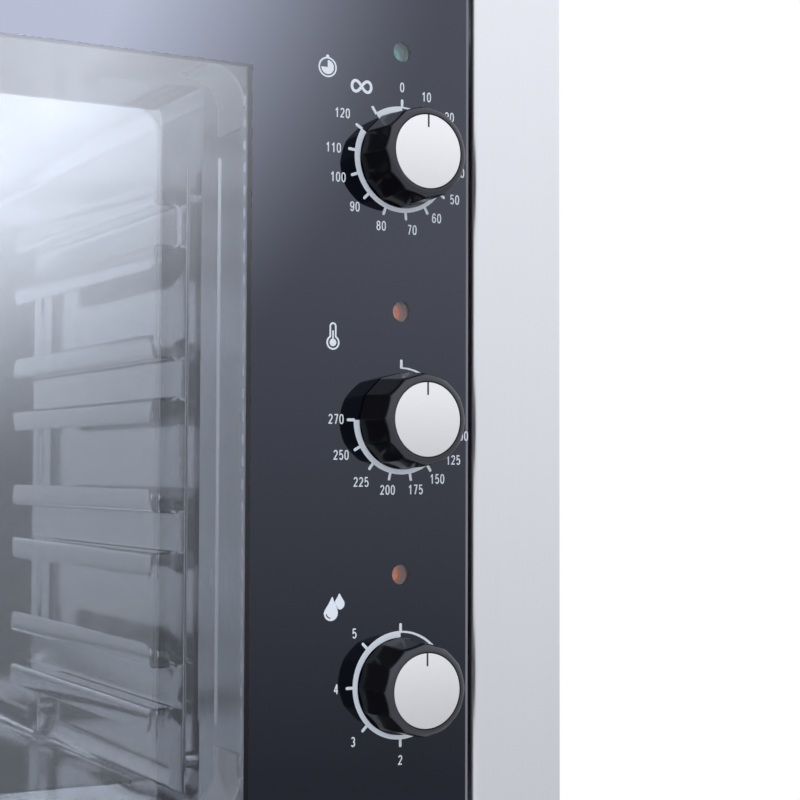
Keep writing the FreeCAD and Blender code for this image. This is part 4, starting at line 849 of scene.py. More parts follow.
@dataclass
class DoorGlass:
    """The printed front glass and the inner pane."""

    window: Span = (-254.8, 200.8, 138.6, 467.4)
    knob_hole: float = 5.5
    stud_hole: float = 4.5
    stud_nut: float = 9.0
    lamp_spot: float = 4.5
    arris: Point = (1.5, 0.5)
    inner_arris: float = 0.4
    ground: float = 3.2
    print_lap: float = 1.6
    coating: Span = (-234.5, 180.5, 112.0, 454.5)
    pane_lift: float = 0.15
    rows: Point = (252.0, 372.0)

    def build(self, palette: Palette) -> None:
        """Build both panes.

        Args:
            palette: The oven's materials.
        """
        self.front_pane(palette)
        self.inner_pane(palette)

    def holes(self) -> list[Ring]:
        """Outlines of the holes for the spindles and the handle studs."""
        rings = []
        for dial in DIALS:
            x, _, z = centre(dial + "_knob")
            rings.append(circle(x, z, self.knob_hole, 32))
        low, high = box("handle_posts")
        for z in (low.z + self.stud_nut, high.z - self.stud_nut):
            rings.append(circle((low.x + high.x) * 0.5, z, self.stud_hole, 32))
        return rings

    def lamp_spots(self, grow: float) -> list[Ring]:
        """Outlines of the clear spots in front of the pilot lamps, larger by a margin."""
        green_x, _, green_z = centre("green_lens")
        low, high = box("amber_lenses")
        radius = (high.x - low.x) * 0.5
        heights = (green_z, high.z - radius, low.z + radius)
        return [circle(green_x, z, self.lamp_spot + grow, 40) for z in heights]

    def lines(self, cut: float, grow: float) -> Grid:
        """Lines of the front pane's grid.

        Args:
            cut: How far the pane's edges are drawn in.
            grow: How far the window is drawn out.

        Returns:
            The lines in x, then in z.
        """
        low, high = box("outer_glass")
        x0, x1, z0, z1 = self.window
        xs = [low.x + cut, x0 - grow, x1 + grow, high.x - cut]
        zs = [low.z + cut, z0 - grow, *self.rows, z1 + grow, high.z - cut]
        return xs, zs

    def sheet(self, sketch: Sketch, y: float, grid: Grid, spots: list[Ring], slot: int) -> None:
        """Add one face of the front pane, cell by cell.

        Args:
            sketch: The pane.
            y: Where the face is.
            grid: The cells' edges in x and in z.
            spots: The lamp spots.
            slot: The material slot beside the window.
        """
        xs, zs = grid
        rings = self.holes() + spots
        for left, right in zip(xs, xs[1:]):
            for low, high in zip(zs, zs[1:]):
                inside = [ring for ring in rings if left < ring[0][0] < right and low < ring[0][1] < high]
                clear = left == xs[1] and zs[1] <= low and high <= zs[-2]
                loops = [sketch.flat(ring, y) for ring in [rectangle(left, right, low, high), *inside]]
                sketch.fill(loops, 0 if clear else slot)
                for ring, loop in zip(inside, loops[1:]):
                    if ring in spots:
                        sketch.fill([loop])

    def border(self, xs: Sequence[float], zs: Sequence[float]) -> Ring:
        """The outline of a grid as (x, z), with a point at each line of the grid."""
        ring = [(x, zs[0]) for x in xs] + [(xs[-1], z) for z in zs[1:]]
        return ring + [(x, zs[-1]) for x in reversed(xs[:-1])] + [(xs[0], z) for z in reversed(zs[1:-1])]

    def front_pane(self, palette: Palette) -> None:
        """One slab: black print round the clear window and the lamp spots.

        Args:
            palette: The oven's materials.
        """
        front = box("outer_glass")[0].y
        back = box("glass_print")[1].y
        wide, deep = self.arris
        near = self.lines(wide, 0.0)
        side = self.lines(0.0, 0.0)
        far = self.lines(deep, self.print_lap)
        sketch = Sketch("door_glass")
        self.sheet(sketch, front, near, self.lamp_spots(0.0), 3)
        self.sheet(sketch, back, far, self.lamp_spots(self.print_lap), 1)
        edges = [(near, front), (side, front + deep), (side, front + self.ground)]
        edges += [(side, back - deep), (far, back)]
        loops = [sketch.flat(self.border(*grid), y) for grid, y in edges]
        sketch.chain(loops[:3], 2)
        sketch.chain(loops[2:], 1)
        for ring in self.holes():
            sketch.bridge(sketch.flat(ring, front), sketch.flat(ring, back), 1)
        materials = [palette.slots["clear_glass"], palette.slots["black_enamel"]]
        materials += [palette.extra["ground edge"], palette.extra["printed glass"]]
        sketch.piece(materials, "door", "clear_glass", ("outer_glass", "glass_print"), smooth=False)

    def inner_pane(self, palette: Palette) -> None:
        """The pane at the back of the door, just off its flange, with a coating that keeps the heat in.

        Args:
            palette: The oven's materials.
        """
        low, high = box("inner_glass")
        front = low.y + self.pane_lift
        back = high.y
        cut = self.inner_arris
        left, right, bottom, top = self.coating
        face = ([low.x + cut, left, right, high.x - cut], [low.z + cut, bottom, top, high.z - cut])
        side = ([low.x, left, right, high.x], [low.z, bottom, top, high.z])
        sketch = Sketch("inner_pane")
        for y in (front, back):
            for x0, x1 in zip(face[0], face[0][1:]):
                for z0, z1 in zip(face[1], face[1][1:]):
                    coated = (x0, z0) == (left, bottom)
                    sketch.face(sketch.flat(rectangle(x0, x1, z0, z1), y), 2 if coated else 0)
        edges = ((face, front), (side, front + cut), (side, back - cut), (face, back))
        sketch.chain([sketch.flat(self.border(*grid), y) for grid, y in edges], 1)
        materials = [palette.slots["clear_glass"]]
        materials += [palette.extra["ground edge"], palette.extra["coated glass"]]
        sketch.piece(materials, "door", "clear_glass", ("inner_glass",), smooth=False)


class Sign(Enum):
    """The picture beside a dial."""

    WATCH = "stopwatch"
    THERMOMETER = "thermometer"
    DROPS = "drops"


@dataclass(frozen=True)
class Label:
    """A numeral of a dial, by its angle and radius about the knob."""

    text: str
    angle: float
    radius: float


@dataclass(frozen=True)
class Dial:
    """What is printed round one knob. Angles run clockwise from the top, in degrees.

    An arc is its first and last angle, and its width at each.
    """

    knob: str
    ticks: tuple[float, ...]
    arcs: tuple[Span, ...]
    labels: tuple[tuple[str, float, float], ...]
    sign: Sign
    sign_place: Point
    endless: bool = False


class Figures:
    """Narrow figures as strokes in a box that runs from -1 to 1 both ways."""

    def __init__(self) -> None:
        """Draw each figure as (line, closed) strokes."""
        squared = 0.8
        oval = [
            (math.copysign(abs(x) ** squared, x), math.copysign(abs(z) ** squared, z))
            for x, z in bow(0, 0, 1, 1, 0, 360)
        ]
        six = [
            (bow(0.0, -0.40, 1.0, 0.60, 0, 360)[:-1], True),
            ([*bow(0.05, 0.1, 1.0, 0.9, 35, 165), (-1.0, -0.40)], False),
        ]
        self.strokes: dict[str, list[tuple[Ring, bool]]] = {
            "0": [(oval[:-1], True)],
            "1": [([(-0.75, 0.45), (0.2, 0.95)], False), ([(0.25, 1.1), (0.25, -1.1)], False)],
            "2": [([*bow(0.0, 0.45, 0.95, 0.55, 165, -25), (-0.95, -0.95), (1.05, -0.95)], False)],
            "3": [
                (bow(0.0, 0.50, 0.85, 0.50, 155, -90), False),
                (bow(0.0, -0.48, 0.95, 0.52, 90, -155), False),
            ],
            "4": [
                ([(0.5, 1.05), (-1.0, -0.40)], False),
                ([(-1.15, -0.45), (1.15, -0.45)], False),
                ([(0.5, 1.1), (0.5, -1.1)], False),
            ],
            "5": [([(0.9, 1.0), (-0.7, 1.0), (-0.85, 0.05), *bow(0.0, -0.37, 1.0, 0.63, 130, -150)], False)],
            "6": six,
            "7": [([(-1.0, 1.0), (0.95, 1.0), (-0.3, -1.1)], False)],
            "8": [
                (bow(0.0, 0.52, 0.85, 0.48, 0, 360)[:-1], True),
                (bow(0.0, -0.46, 1.0, 0.54, 0, 360)[:-1], True),
            ],
            "9": [([(-x, -z) for x, z in line], closed) for line, closed in six],
        }


@dataclass
class DialPrint:
    """The white print on the glass. Each stroke has a layer of its own."""

    ring: float = 24.5
    tick_start: float = 23.9
    tick_end: float = 28.0
    tick_width: float = 1.35
    figure: Corner = (2.2, 4.5, 2.75)
    figure_stroke: float = 0.57
    figures: Figures = field(default_factory=Figures)
    lift: float = 0.03
    film: float = 0.025
    layer: float = 0.003
    endless_place: Point = (-21.1, 31.6)
    eight: Corner = (4.95, 2.45, 1.35)

    def dials(self) -> tuple[Dial, ...]:
        """The three dials, from the top."""
        minutes = (
            ("0", 0, 33.5), ("10", 23, 33), ("20", 48.7, 33.7), ("30", 74.2, 31.2), ("40", 96.3, 31.2),
            ("50", 120, 32.6), ("60", 144.3, 31.7), ("70", 170.4, 32.5), ("80", 199, 33), ("90", 226, 33.8),
            ("100", 252, 34.6), ("110", 274, 35.4), ("120", 301, 36),
        )
        degrees = (
            ("100", 101.6, 32.6), ("125", 122.7, 32.9), ("150", 144.3, 32.7), ("175", 166.3, 32.3),
            ("200", 192.5, 32.3), ("225", 216.4, 34.7), ("250", 242.8, 34.6), ("270", 270.4, 33.4),
        )
        steps = (("1", 90, 30), ("2", 180, 33.8), ("3", 225.3, 34), ("4", 270, 32.8), ("5", 315.7, 33.9))
        full, endless = 300.6, 325.9
        timer_ticks = tuple(full * n / 12 for n in range(13)) + (endless,)
        timer_arcs = ((0, full, 0.7, 3.0), (endless, 360, 3.0, 2.5))
        heat_ticks = (0.0, 51.0, 98.0, 122.0, 145.7, 169.2, 193.2, 216.7, 240.5, 270.0)
        damp_ticks = (0.0, 90.0, 180.0, 225.0, 270.0, 315.0)
        return (
            Dial("timer", timer_ticks, timer_arcs, minutes, Sign.WATCH, (-38.4, 38.5), True),
            Dial("temperature", heat_ticks, ((0, 270, 0.7, 3.0),), degrees, Sign.THERMOMETER, (-35.1, 37.6)),
            Dial("humidity", damp_ticks, ((0, 360, 0.9, 3.0),), steps, Sign.DROPS, (-34.2, 36.1)),
        )

    def build(self, palette: Palette, repeater: Repeater) -> None:
        """Print each dial on the door's glass.

        Args:
            palette: The oven's materials.
            repeater: The trees that set the ticks.
        """
        white = palette.extra["white print"]
        front = box("outer_glass")[0].y - self.lift
        for dial in self.dials():
            x, _, z = centre(dial.knob + "_knob")
            sketch = Sketch(dial.knob + "_print")
            for arc in dial.arcs:
                sketch.slab([self.arc(x, z, arc)], front, front + self.film)
            middle = (x, front - self.layer, z)
            places = [(middle, (0.0, math.radians(angle), 0.0)) for angle in dial.ticks]
            sketch.take(repeater.scatter(places, self.tick(), white), Matrix())
            for row in dial.labels:
                self.numerals(sketch, Label(*row), x, z, front)
            self.picture(sketch, dial.sign, (x + dial.sign_place[0], z + dial.sign_place[1]), front)
            if dial.endless:
                self.endless(sketch, (x + self.endless_place[0], z + self.endless_place[1]), front)
            sketch.piece([white], "door", "black_enamel")

    def arc(self, x: float, z: float, arc: Span) -> Ring:
        """Outline of a ring segment whose width changes along it.

        Args:
            x: X of the knob.
            z: Z of the knob.
            arc: First and last angle, and the width at each.

        Returns:
            The outline as (x, z).
        """
        first, last, thin, wide = arc
        count = max(8, int((last - first) / 3))
        outer = []
        inner = []
        for share in (step / count for step in range(count + 1)):
            angle = math.radians(first + (last - first) * share)
            within = self.ring - (thin + (wide - thin) * share)
            outer.append((x + self.ring * math.sin(angle), z + self.ring * math.cos(angle)))
            inner.append((x + within * math.sin(angle), z + within * math.cos(angle)))
        return outer + inner[::-1]

    def tick(self) -> Sketch:
        """One tick, drawn upwards from the ring with a round end."""
        pattern = Sketch("tick")
        half = self.tick_width / 2
        top = self.tick_end - half
        cap = [(half * math.cos(a), top + half * math.sin(a)) for a in (math.pi * n / 8 for n in range(9))]
        pattern.slab([[(-half, self.tick_start), (half, self.tick_start), *cap]], 0.0, self.film)
        return pattern

    def numerals(self, sketch: Sketch, label: Label, x: float, z: float, front: float) -> None:
        """Add a number in narrow figures.

        Args:
            sketch: The print.
            label: The number and its place.
            x: X of the knob.
            z: Z of the knob.
            front: Y of the print's face.
        """
        wide, tall, step = self.figure
        half_x = (wide - self.figure_stroke) / 2
        half_z = (tall - self.figure_stroke) / 2
        angle = math.radians(label.angle)
        first_x = x + label.radius * math.sin(angle) - (len(label.text) - 1) * step / 2
        middle_z = z + label.radius * math.cos(angle)
        for number, sign in enumerate(label.text):
            for depth, (line, closed) in enumerate(self.figures.strokes[sign]):
                spots = [(first_x + number * step + px * half_x, middle_z + pz * half_z) for px, pz in line]
                near = front - depth * self.layer
                sketch.stroke(spots, self.figure_stroke, closed, near, near + self.film)

    def endless(self, sketch: Sketch, place: Point, front: float) -> None:
        """Add the lying eight of the endless setting as two strokes that cross.

        Args:
            sketch: The print.
            place: Its middle as (x, z).
            front: Y of the print's face.
        """
        wide, tall, stroke = self.eight
        x, z = place
        line = []
        for angle in (math.radians(5 * n) for n in range(73)):
            shrink = 1.0 + math.sin(angle) ** 2
            rise = tall * math.sqrt(2.0) * math.sin(2 * angle) / shrink
            line.append((x + wide * math.cos(angle) / shrink, z + rise))
        for depth, part in enumerate((line[:37], line[36:])):
            near = front - depth * self.layer
            sketch.stroke(part, stroke, False, near, near + self.film)

    def picture(self, sketch: Sketch, sign: Sign, place: Point, front: float) -> None:
        """Add the picture beside a dial.

        Args:
            sketch: The print.
            sign: Which picture.
            place: Its middle as (x, z).
            front: Y of the print's face.
        """
        drawings: dict[Sign, Callable[[], Drawing]] = {
            Sign.WATCH: self.watch,
            Sign.THERMOMETER: self.thermometer,
            Sign.DROPS: self.drops,
        }
        for depth, shape in enumerate(drawings[sign]()):
            rings = [[(place[0] + x, place[1] + z) for x, z in ring] for ring in shape]
            near = front - depth * self.layer
            sketch.slab(rings, near, near + self.film)

    def watch(self) -> Drawing:
        """A round watch with three quarters filled and a button on top."""
        outer, inner, filled = 4.6, 3.85, 3.2
        turns = (math.radians(270 * n / 36) for n in range(37))
        pie = [(0.0, 0.0)] + [(filled * math.sin(a), filled * math.cos(a)) for a in turns]
        button = [(-0.8, 4.5), (0.8, 4.5), (0.8, 5.1), (0.45, 5.6), (-0.45, 5.6), (-0.8, 5.1)]
        return [[circle(0, 0, outer), circle(0, 0, inner)], [pie], [button]]

    def thermometer(self) -> Drawing:
        """A bulb thermometer with its filling."""
        bulb_z = -3.1

        def outline(half: float, bulb: float, top: float) -> Ring:
            """Tube and bulb as one outline."""
            join = math.asin(half / bulb)
            turns = (join + (2 * math.pi - 2 * join) * n / 32 for n in range(33))
            ring = [(bulb * math.sin(a), bulb_z + bulb * math.cos(a)) for a in turns]
            turns = (math.pi * n / 16 for n in range(17))
            return ring + [(-half * math.cos(a), top + half * math.sin(a)) for a in turns]

        return [[outline(1.75, 3.3, 4.2), outline(0.95, 2.5, 4.2)], [outline(0.38, 1.7, 2.0)]]

    def drops(self) -> Drawing:
        """A drop with a bright edge cut out of it, and a smaller one behind."""
        near_x, near_z = -1.35, -2.3
        middle = Vector((near_x, near_z + 0.5))

        def drop(x: float, z: float, radius: float, tall: float, lean: float) -> Ring:
            """Outline of a drop whose point is above its round."""
            ring = []
            for a in (2 * math.pi * n / 48 for n in range(48)):
                pull = max(0.0, math.cos(a)) ** 3
                px = radius * math.sin(a) * (1 - 0.55 * pull)
                pz = radius * math.cos(a) * (1 + (tall / radius - 1) * pull)
                ring.append((x + px + lean * max(0.0, pz), z + pz))
            return ring

        near = drop(near_x, near_z, 3.5, 7.2, 0.10)
        gap = [Vector(edge) - middle for edge in drop(near_x, near_z, 4.3, 8.2, 0.10)]
        far = []
        for spot in drop(2.9, 1.7, 2.6, 4.6, 0.0):
            aim = Vector(spot) - middle
            way = aim.normalized()
            reach = max(edge.length * (0.999 < edge.normalized().dot(way)) for edge in gap)
            far.append(tuple(middle + way * max(reach, aim.length)))
        turns = [math.radians(185 + 75 * n / 12) for n in range(13)]
        shine = [(near_x + 2.55 * math.sin(a), near_z + 2.55 * math.cos(a)) for a in turns]
        shine += [(near_x + 2.05 * math.sin(a), near_z + 2.05 * math.cos(a)) for a in reversed(turns)]
        return [[near, shine], [far]]


@dataclass
class KnobSet:
    """The three knobs with their caps."""

    sides: int = 12
    steps: int = 168
    base_r: float = 22.0
    front_r: float = 20.8
    rim_h: float = 6.5
    rim_r: float = 21.6
    lip_r: float = 17.25
    seat_r: float = 17.0
    seat_d: float = 1.25
    cap_r: float = 16.75
    cap_edge: tuple[Point, ...] = ((0.5, 0.0), (0.2, 0.06), (0.0, 0.3))
    bore_r: float = 3.05
    bore_d: float = 14.1
    round_off: float = 0.8
    flare: float = 0.2
    plain_share: float = 0.68
    plain_rows: int = 9
    rim_rows: int = 22
    satin_start: float = 0.10
    satin_blend: float = 0.8
    satin_rise: Point = (0.5, 0.15)
    pointer: Point = (5.7, 0.9)
    pointer_inset: float = 0.15
    pointer_film: Point = (0.03, 0.005)

    def build(self, palette: Palette) -> None:
        """Build each knob and its cap.

        Args:
            palette: The oven's materials.
        """
        for dial in DIALS:
            self.knob(dial, palette)
            self.cap(dial, palette)

    def radii(self, share: float, angle: float, height: float) -> Point:
        """Radius of the flats and of the turned outline at one place.

        Args:
            share: How far up the knob, from 0 to 1.
            angle: Round the axis from a corner, in radians.
            height: The knob's height.

        Returns:
            The flats' radius, then the turned outline's.
        """
        pitch = 2 * math.pi / self.sides
        corner = self.base_r + (self.front_r - self.base_r) * share
        flat = corner * math.cos(pitch / 2) / math.cos((angle % pitch) - pitch / 2)
        above = share * height - (height - self.rim_h)
        fall = limit(above / self.rim_h)
        turned = self.lip_r + (self.rim_r - self.lip_r) * math.sqrt(1.0 - fall ** 2)
        return flat, turned - min(0.0, above) * self.flare

    def knob(self, dial: str, palette: Palette) -> None:
        """Build one knob: flats below, a rounded rim, the seat of the cap and the bore.

        Args:
            dial: The dial's name.
            palette: The oven's materials.
        """
        low, high = box(dial + "_knob")
        x, _, z = centre(dial + "_knob")
        base, front = high.y, low.y
        height = base - front
        sketch = Sketch(dial + "_grip")
        rims: list[float] = []

        def ring(radius: float, y: float) -> list[int]:
            """A plain turned loop of the knob."""
            rims.extend([0.0] * self.steps)
            return sketch.flat(circle(x, z, radius, self.steps), y)

        plain, start = self.plain_share, self.satin_rise
        heights = [plain * n / self.plain_rows for n in range(self.plain_rows + 1)]
        turns = (math.pi / 2 * n / self.rim_rows for n in range(1, self.rim_rows + 1))
        heights += [plain + (1.0 - plain) * math.sin(turn) for turn in turns]
        loops = [ring(self.bore_r, base)]
        for share in heights:
            loop = []
            for angle in (2 * math.pi * step / self.steps for step in range(self.steps)):
                flat, turned = self.radii(share, angle, height)
                spread = max(0.0, self.round_off - abs(flat - turned)) / self.round_off
                radius = min(flat, turned) - spread ** 2 * self.round_off / 4
                satin = limit((flat - turned + self.satin_start) / self.satin_blend)
                rims.append(limit((share - start[0]) / start[1]) * satin)
                loop.append((x + radius * math.sin(angle), z + radius * math.cos(angle)))
            loops.append(sketch.flat(loop, base - share * height))
        loops.append(ring(self.seat_r, front))
        loops.append(ring(self.seat_r, front + self.seat_d))
        sketch.chain(loops)
        sketch.face(loops[-1])
        top = ring(self.bore_r, base - self.bore_d)
        sketch.bridge(loops[0], top)
        sketch.face(top)
        plastic = palette.slots["knob_plastic"]
        piece = sketch.piece([plastic], dial + "_dial", "knob_plastic", (dial + "_knob",), 40.0)
        marks = piece.data.attributes.new("rim", "FLOAT", "POINT")
        marks.data.foreach_set("value", rims)

    def cap(self, dial: str, palette: Palette) -> None:
        """Build the metal cap and its black pointer.

        Args:
            dial: The dial's name.
            palette: The oven's materials.
        """
        low, high = box(dial + "_cap")
        x, _, z = centre(dial + "_cap")
        sketch = Sketch(dial + "_disc")
        line = [(self.cap_r - inset, low.y + drop) for inset, drop in self.cap_edge]
        sketch.turn([(0.0, low.y), *line, (self.cap_r, high.y), (0.0, high.y)], x, z, 96)
        length, width = self.pointer
        outer = z + self.cap_r - self.pointer_inset
        mark = rectangle(x - width / 2, x + width / 2, outer - length, outer)
        near, far = self.pointer_film
        sketch.slab([mark], low.y - near, low.y - far, 1)
        materials = [palette.slots["cap_metal"], palette.extra["black ink"]]
        sketch.piece(materials, dial + "_dial", "cap_metal", (dial + "_cap",))


@dataclass
class PilotLamps:
    """Ridged lenses of the pilot lamps."""

    ridges: int = 4
    ridge: float = 0.16
    ridge_steps: int = 6
    dome: float = 1.2

    def build(self, palette: Palette) -> None:
        """Build the green lens and the two amber ones.

        Args:
            palette: The oven's materials.
        """
        low, high = box("green_lens")
        radius = (high.x - low.x) * 0.5
        x, _, z = centre("green_lens")
        green = Sketch("green_ridged_lens")
        self.lens(green, x, z, radius, low.y, high.y)
        green.piece([palette.slots["green_plastic"]], "door", "green_plastic", ("green_lens",), 60.0)
        low, high = box("amber_lenses")
        amber = Sketch("amber_ridged_lenses")
        for z in (high.z - radius, low.z + radius):
            self.lens(amber, x, z, radius, low.y, high.y)
        amber.piece([palette.slots["amber_plastic"]], "door", "amber_plastic", ("amber_lenses",), 60.0)

    def lens(self, sketch: Sketch, x: float, z: float, radius: float, front: float, back: float) -> None:
        """Add one domed lens with ring-shaped ridges.

        Args:
            sketch: The piece that it belongs to.
            x: X of its axis.
            z: Z of its axis.
            radius: Its radius.
            front: Y of its crown.
            back: Y of its back.
        """
        crown = front + self.ridge
        line = [(0.0, crown)]
        steps = self.ridges * self.ridge_steps
        for share in (n / steps for n in range(1, steps + 1)):
            wave = self.ridge * math.cos(2 * math.pi * self.ridges * share)
            line.append((radius * share, crown + self.dome * share ** 2 - wave))
        sketch.turn([*line, (radius, back), (0.0, back)], x, z, 64)


@dataclass
class TrayRacks:
    """The racks: two uprights a side, with a folded channel between them at each level."""

    upright_t: float = 2.0
    upright_w: float = 18.0
    seat_rise: float = 40.0
    pitch: float = 75.0
    levels: int = 4
    opening: float = 19.0
    flange: float = 12.0
    corner: float = 5.0
    sheet: float = 1.2
    bend: float = 1.9
    edge: float = 0.6

    def build(self, palette: Palette, repeater: Repeater) -> None:
        """Build the rack of each side wall.

        Args:
            palette: The oven's materials.
            repeater: The tree that sets the channels.
        """
        steel = palette.slots["rack_steel"]
        for name, side in (("right_rack", -1.0), ("left_rack", 1.0)):
            low, high = box(name)
            wall = high.x if side < 0 else low.x
            sketch = Sketch(name.replace("rack", "tray_rack"))
            for y in (low.y, high.y - self.upright_w):
                self.upright(sketch, wall, side, y, (low.z, high.z))
            rail = self.rail(side, high.x - low.x, high.y - low.y - self.upright_w)
            mesh = repeater.row(self.levels, (0.0, 0.0, self.pitch), rail, steel)
            place = Vector((wall, low.y + self.upright_w / 2, low.z + self.seat_rise))
            sketch.take(mesh, Matrix.Translation(place * MM))
            sketch.piece([steel], "oven", "rack_steel", (name,), 40.0)

    def upright(self, sketch: Sketch, wall: float, side: float, y: float, ends: Point) -> None:
        """Add one flat bar with rounded edges.

        Args:
            sketch: The rack.
            wall: X of the face that is nearer to the wall.
            side: Which way the rack faces, 1 or -1 in x.
            y: Where the bar begins.
            ends: Z of its foot and of its head.
        """
        r = self.edge
        ring = []
        for number, (a, b) in enumerate(rectangle(r, self.upright_t - r, r, self.upright_w - r)):
            for turn in (math.pi * (1.0 + 0.5 * number + 0.125 * step) for step in range(5)):
                ring.append((a + r * math.cos(turn), b + r * math.sin(turn)))
        loops = [sketch.loop((wall + side * a, y + b, z) for a, b in ring) for z in ends]
        sketch.chain(loops)
        for loop in loops:
            sketch.fill([loop])

    def rail(self, side: float, reach: float, length: float) -> Sketch:
        """One folded channel, drawn from the wall side of its upright.

        Args:
            side: Which way the rack faces, 1 or -1 in x.
            reach: How far the flanges stand from the wall side.
            length: The channel's length.

        Returns:
            The channel.
        """
        pattern = Sketch("tray channel")
        short = [self.corner * (1.0 - math.cos(math.pi / 2 * n / 6)) for n in range(7)]
        ends = [(s, self.corner - math.sqrt(self.corner ** 2 - (self.corner - s) ** 2)) for s in short]
        loops = []
        for y, less in ends + [(length - s, less) for s, less in reversed(ends)]:
            ring = self.section(reach, self.flange - less)
            loops.append(pattern.loop((side * a, y, z) for a, z in ring))
        pattern.chain(loops)
        pattern.fill([loops[0]])
        pattern.fill([loops[-1]])
        return pattern

    def section(self, reach: float, flange: float) -> Ring:
        """Outline of the folded sheet across the channel, as (distance from the wall side, z).

        Args:
            reach: How far the flanges stand from the wall side.
            flange: The height of a flange at this place.

        Returns:
            The closed outline.
        """
        half = self.sheet / 2
        web = self.upright_t + half
        face = reach - half
        top = self.opening + half
        head, foot = self.opening + flange - half, half - flange
        corners = [(face, head), (face, top), (web, top), (web, -half), (face, -half), (face, foot)]
        spots = [Vector(corner) for corner in corners]
        line = [(spots[0], (spots[1] - spots[0]).normalized())]
        for before, corner, after in zip(spots, spots[1:], spots[2:]):
            into = (corner - before).normalized()
            out = (after - corner).normalized()
            for angle in (math.pi / 2 * n / 6 for n in range(7)):
                ahead = self.bend * (math.sin(angle) - 1.0)
                aside = self.bend * (1.0 - math.cos(angle))
                run = into * math.cos(angle) + out * math.sin(angle)
                line.append((corner + into * ahead + out * aside, run))
        line.append((spots[-1], (spots[-1] - spots[-2]).normalized()))
        turns = [math.pi * n / 6 for n in range(1, 6)]
        ring = []
        for spine, sign in ((line, half), (line[::-1], -half)):
            ring += [spot + Vector((-run.y, run.x)) * sign for spot, run in spine]
            spot, run = spine[-1]
            across = Vector((-run.y, run.x))
            ring += [spot + (across * math.cos(a) + run * math.sin(a)) * sign for a in turns]
        return [tuple(point) for point in ring]


@dataclass
class Casing:
    """Cross-headed screws on the back of the casing. A profile is in shares of the head."""

    head_r: float = 4.0
    head_h: float = 2.4
    cross: Point = (4.2, 1.0)
    cross_d: float = 1.1
    cross_taper: float = 0.8
    crown: float = 0.72
    profile: tuple[Point, ...] = ((0.93, 0.72), (1.0, 0.3), (1.0, 0.0), (0.5, 0.0), (0.5, -3.2), (0.3, -3.5))
    turn: float = 0.35

    def build(self, palette: Palette, repeater: Repeater, nodes: dict[str, bpy.types.Object]) -> None:
        """Build the screws, each turned a little further than the one before.

        Args:
            palette: The oven's materials.
            repeater: The trees that set the screws.
            nodes: The frame's nodes.
        """
        places = []
        for low, high in solid_boxes(nodes["casing_screws"]):
            spot = ((low.x + high.x) * 0.5, high.y - self.head_h, (low.z + high.z) * 0.5)
            places.append((spot, (0.0, self.turn * len(places), 0.0)))
        steel = palette.slots["screw_steel"]
        sketch = Sketch("cross_screws")
        sketch.take(repeater.scatter(places, self.screw(), steel), Matrix())
        sketch.piece([steel], "oven", "screw_steel", ("casing_screws",))

    def screw(self) -> Sketch:
        """One round head with a cross cut in it, and its shank, drawn backwards from the origin."""
        pattern = Sketch("cross screw")
        arm, wide = self.cross[0] / 2, self.cross[1] / 2
        half = [(wide, arm), (wide, wide), (arm, wide), (arm, -wide), (wide, -wide), (wide, -arm)]
        cross = half + [(-x, -z) for x, z in half]
        top = pattern.flat(circle(0, 0, self.head_r * self.crown, 24), self.head_h)
        mouth = pattern.flat(cross, self.head_h)
        taper = self.cross_taper
        floor = pattern.flat([(x * taper, z * taper) for x, z in cross], self.head_h - self.cross_d)
        pattern.fill([top, mouth])
        pattern.bridge(mouth, floor)
        pattern.fill([floor])
        loops = [top]
        for radius, y in self.profile:
            loops.append(pattern.flat(circle(0, 0, self.head_r * radius, 24), y * self.head_h))
        pattern.chain(loops)
        pattern.face(loops[-1])
        return pattern


@dataclass(frozen=True)
class Stem:
    """A threaded stem: its radius and the y of its thread's ends, with the record's slot."""

    name: str
    x: float
    z: float
    radius: float
    start: float
    end: float
    slot: str


@dataclass
class BackServices:
    """Threads on the water inlet and the cable gland. Margins are off the panel and off the end."""

    inlet_r: float = 13.2
    inlet_nut_r: float = 18.0
    inlet_margins: Point = (4.6, 1.0)
    gland_r: float = 12.0
    gland_margins: Point = (6.8, 4.0)
    pitch: float = 1.8
    half_width: float = 0.756
    root: float = 0.2
    shoulder: float = 0.11
    crest: float = 0.55

    def build(self, palette: Palette, repeater: Repeater) -> None:
        """Build the thread of each fitting.

        Args:
            palette: The oven's materials.
            repeater: The tree that sets the thread's turns.
        """
        panel = box("back_panel")[1].y
        low, high = box("solenoid_valve")
        start, end = panel + self.inlet_margins[0], high.y - self.inlet_margins[1]
        x, z = (low.x + high.x) * 0.5, low.z + self.inlet_nut_r
        inlet = Stem("inlet_thread", x, z, self.inlet_r, start, end, "valve_plastic")
        x, _, z = centre("cable_gland")
        start, end = panel + self.gland_margins[0], box("cable_gland")[1].y - self.gland_margins[1]
        gland = Stem("gland_thread", x, z, self.gland_r, start, end, "electric_plastic")
        for stem in (inlet, gland):
            self.thread(stem, palette.slots[stem.slot], repeater)

    def thread(self, stem: Stem, material: bpy.types.Material, repeater: Repeater) -> None:
        """Set a row of ridges round a stem.

        Args:
            stem: The stem.
            material: The ridges' material.
            repeater: The tree that sets the ridges.
        """
        ridge = Sketch("thread ridge")
        root, shoulder = stem.radius - self.root, stem.radius + self.shoulder
        half = self.half_width
        crest = stem.radius + self.crest
        line = [(root, -half), (shoulder, -half), (crest, 0.0), (shoulder, half), (root, half)]
        ridge.turn(line, 0.0, 0.0, 40)
        count = max(1, int((stem.end - stem.start) / self.pitch))
        sketch = Sketch(stem.name)
        mesh = repeater.row(count, (0.0, self.pitch, 0.0), ridge, material)
        sketch.take(mesh, Matrix.Translation(Vector((stem.x, stem.start, stem.z)) * MM))
        sketch.piece([material], "oven", stem.slot)


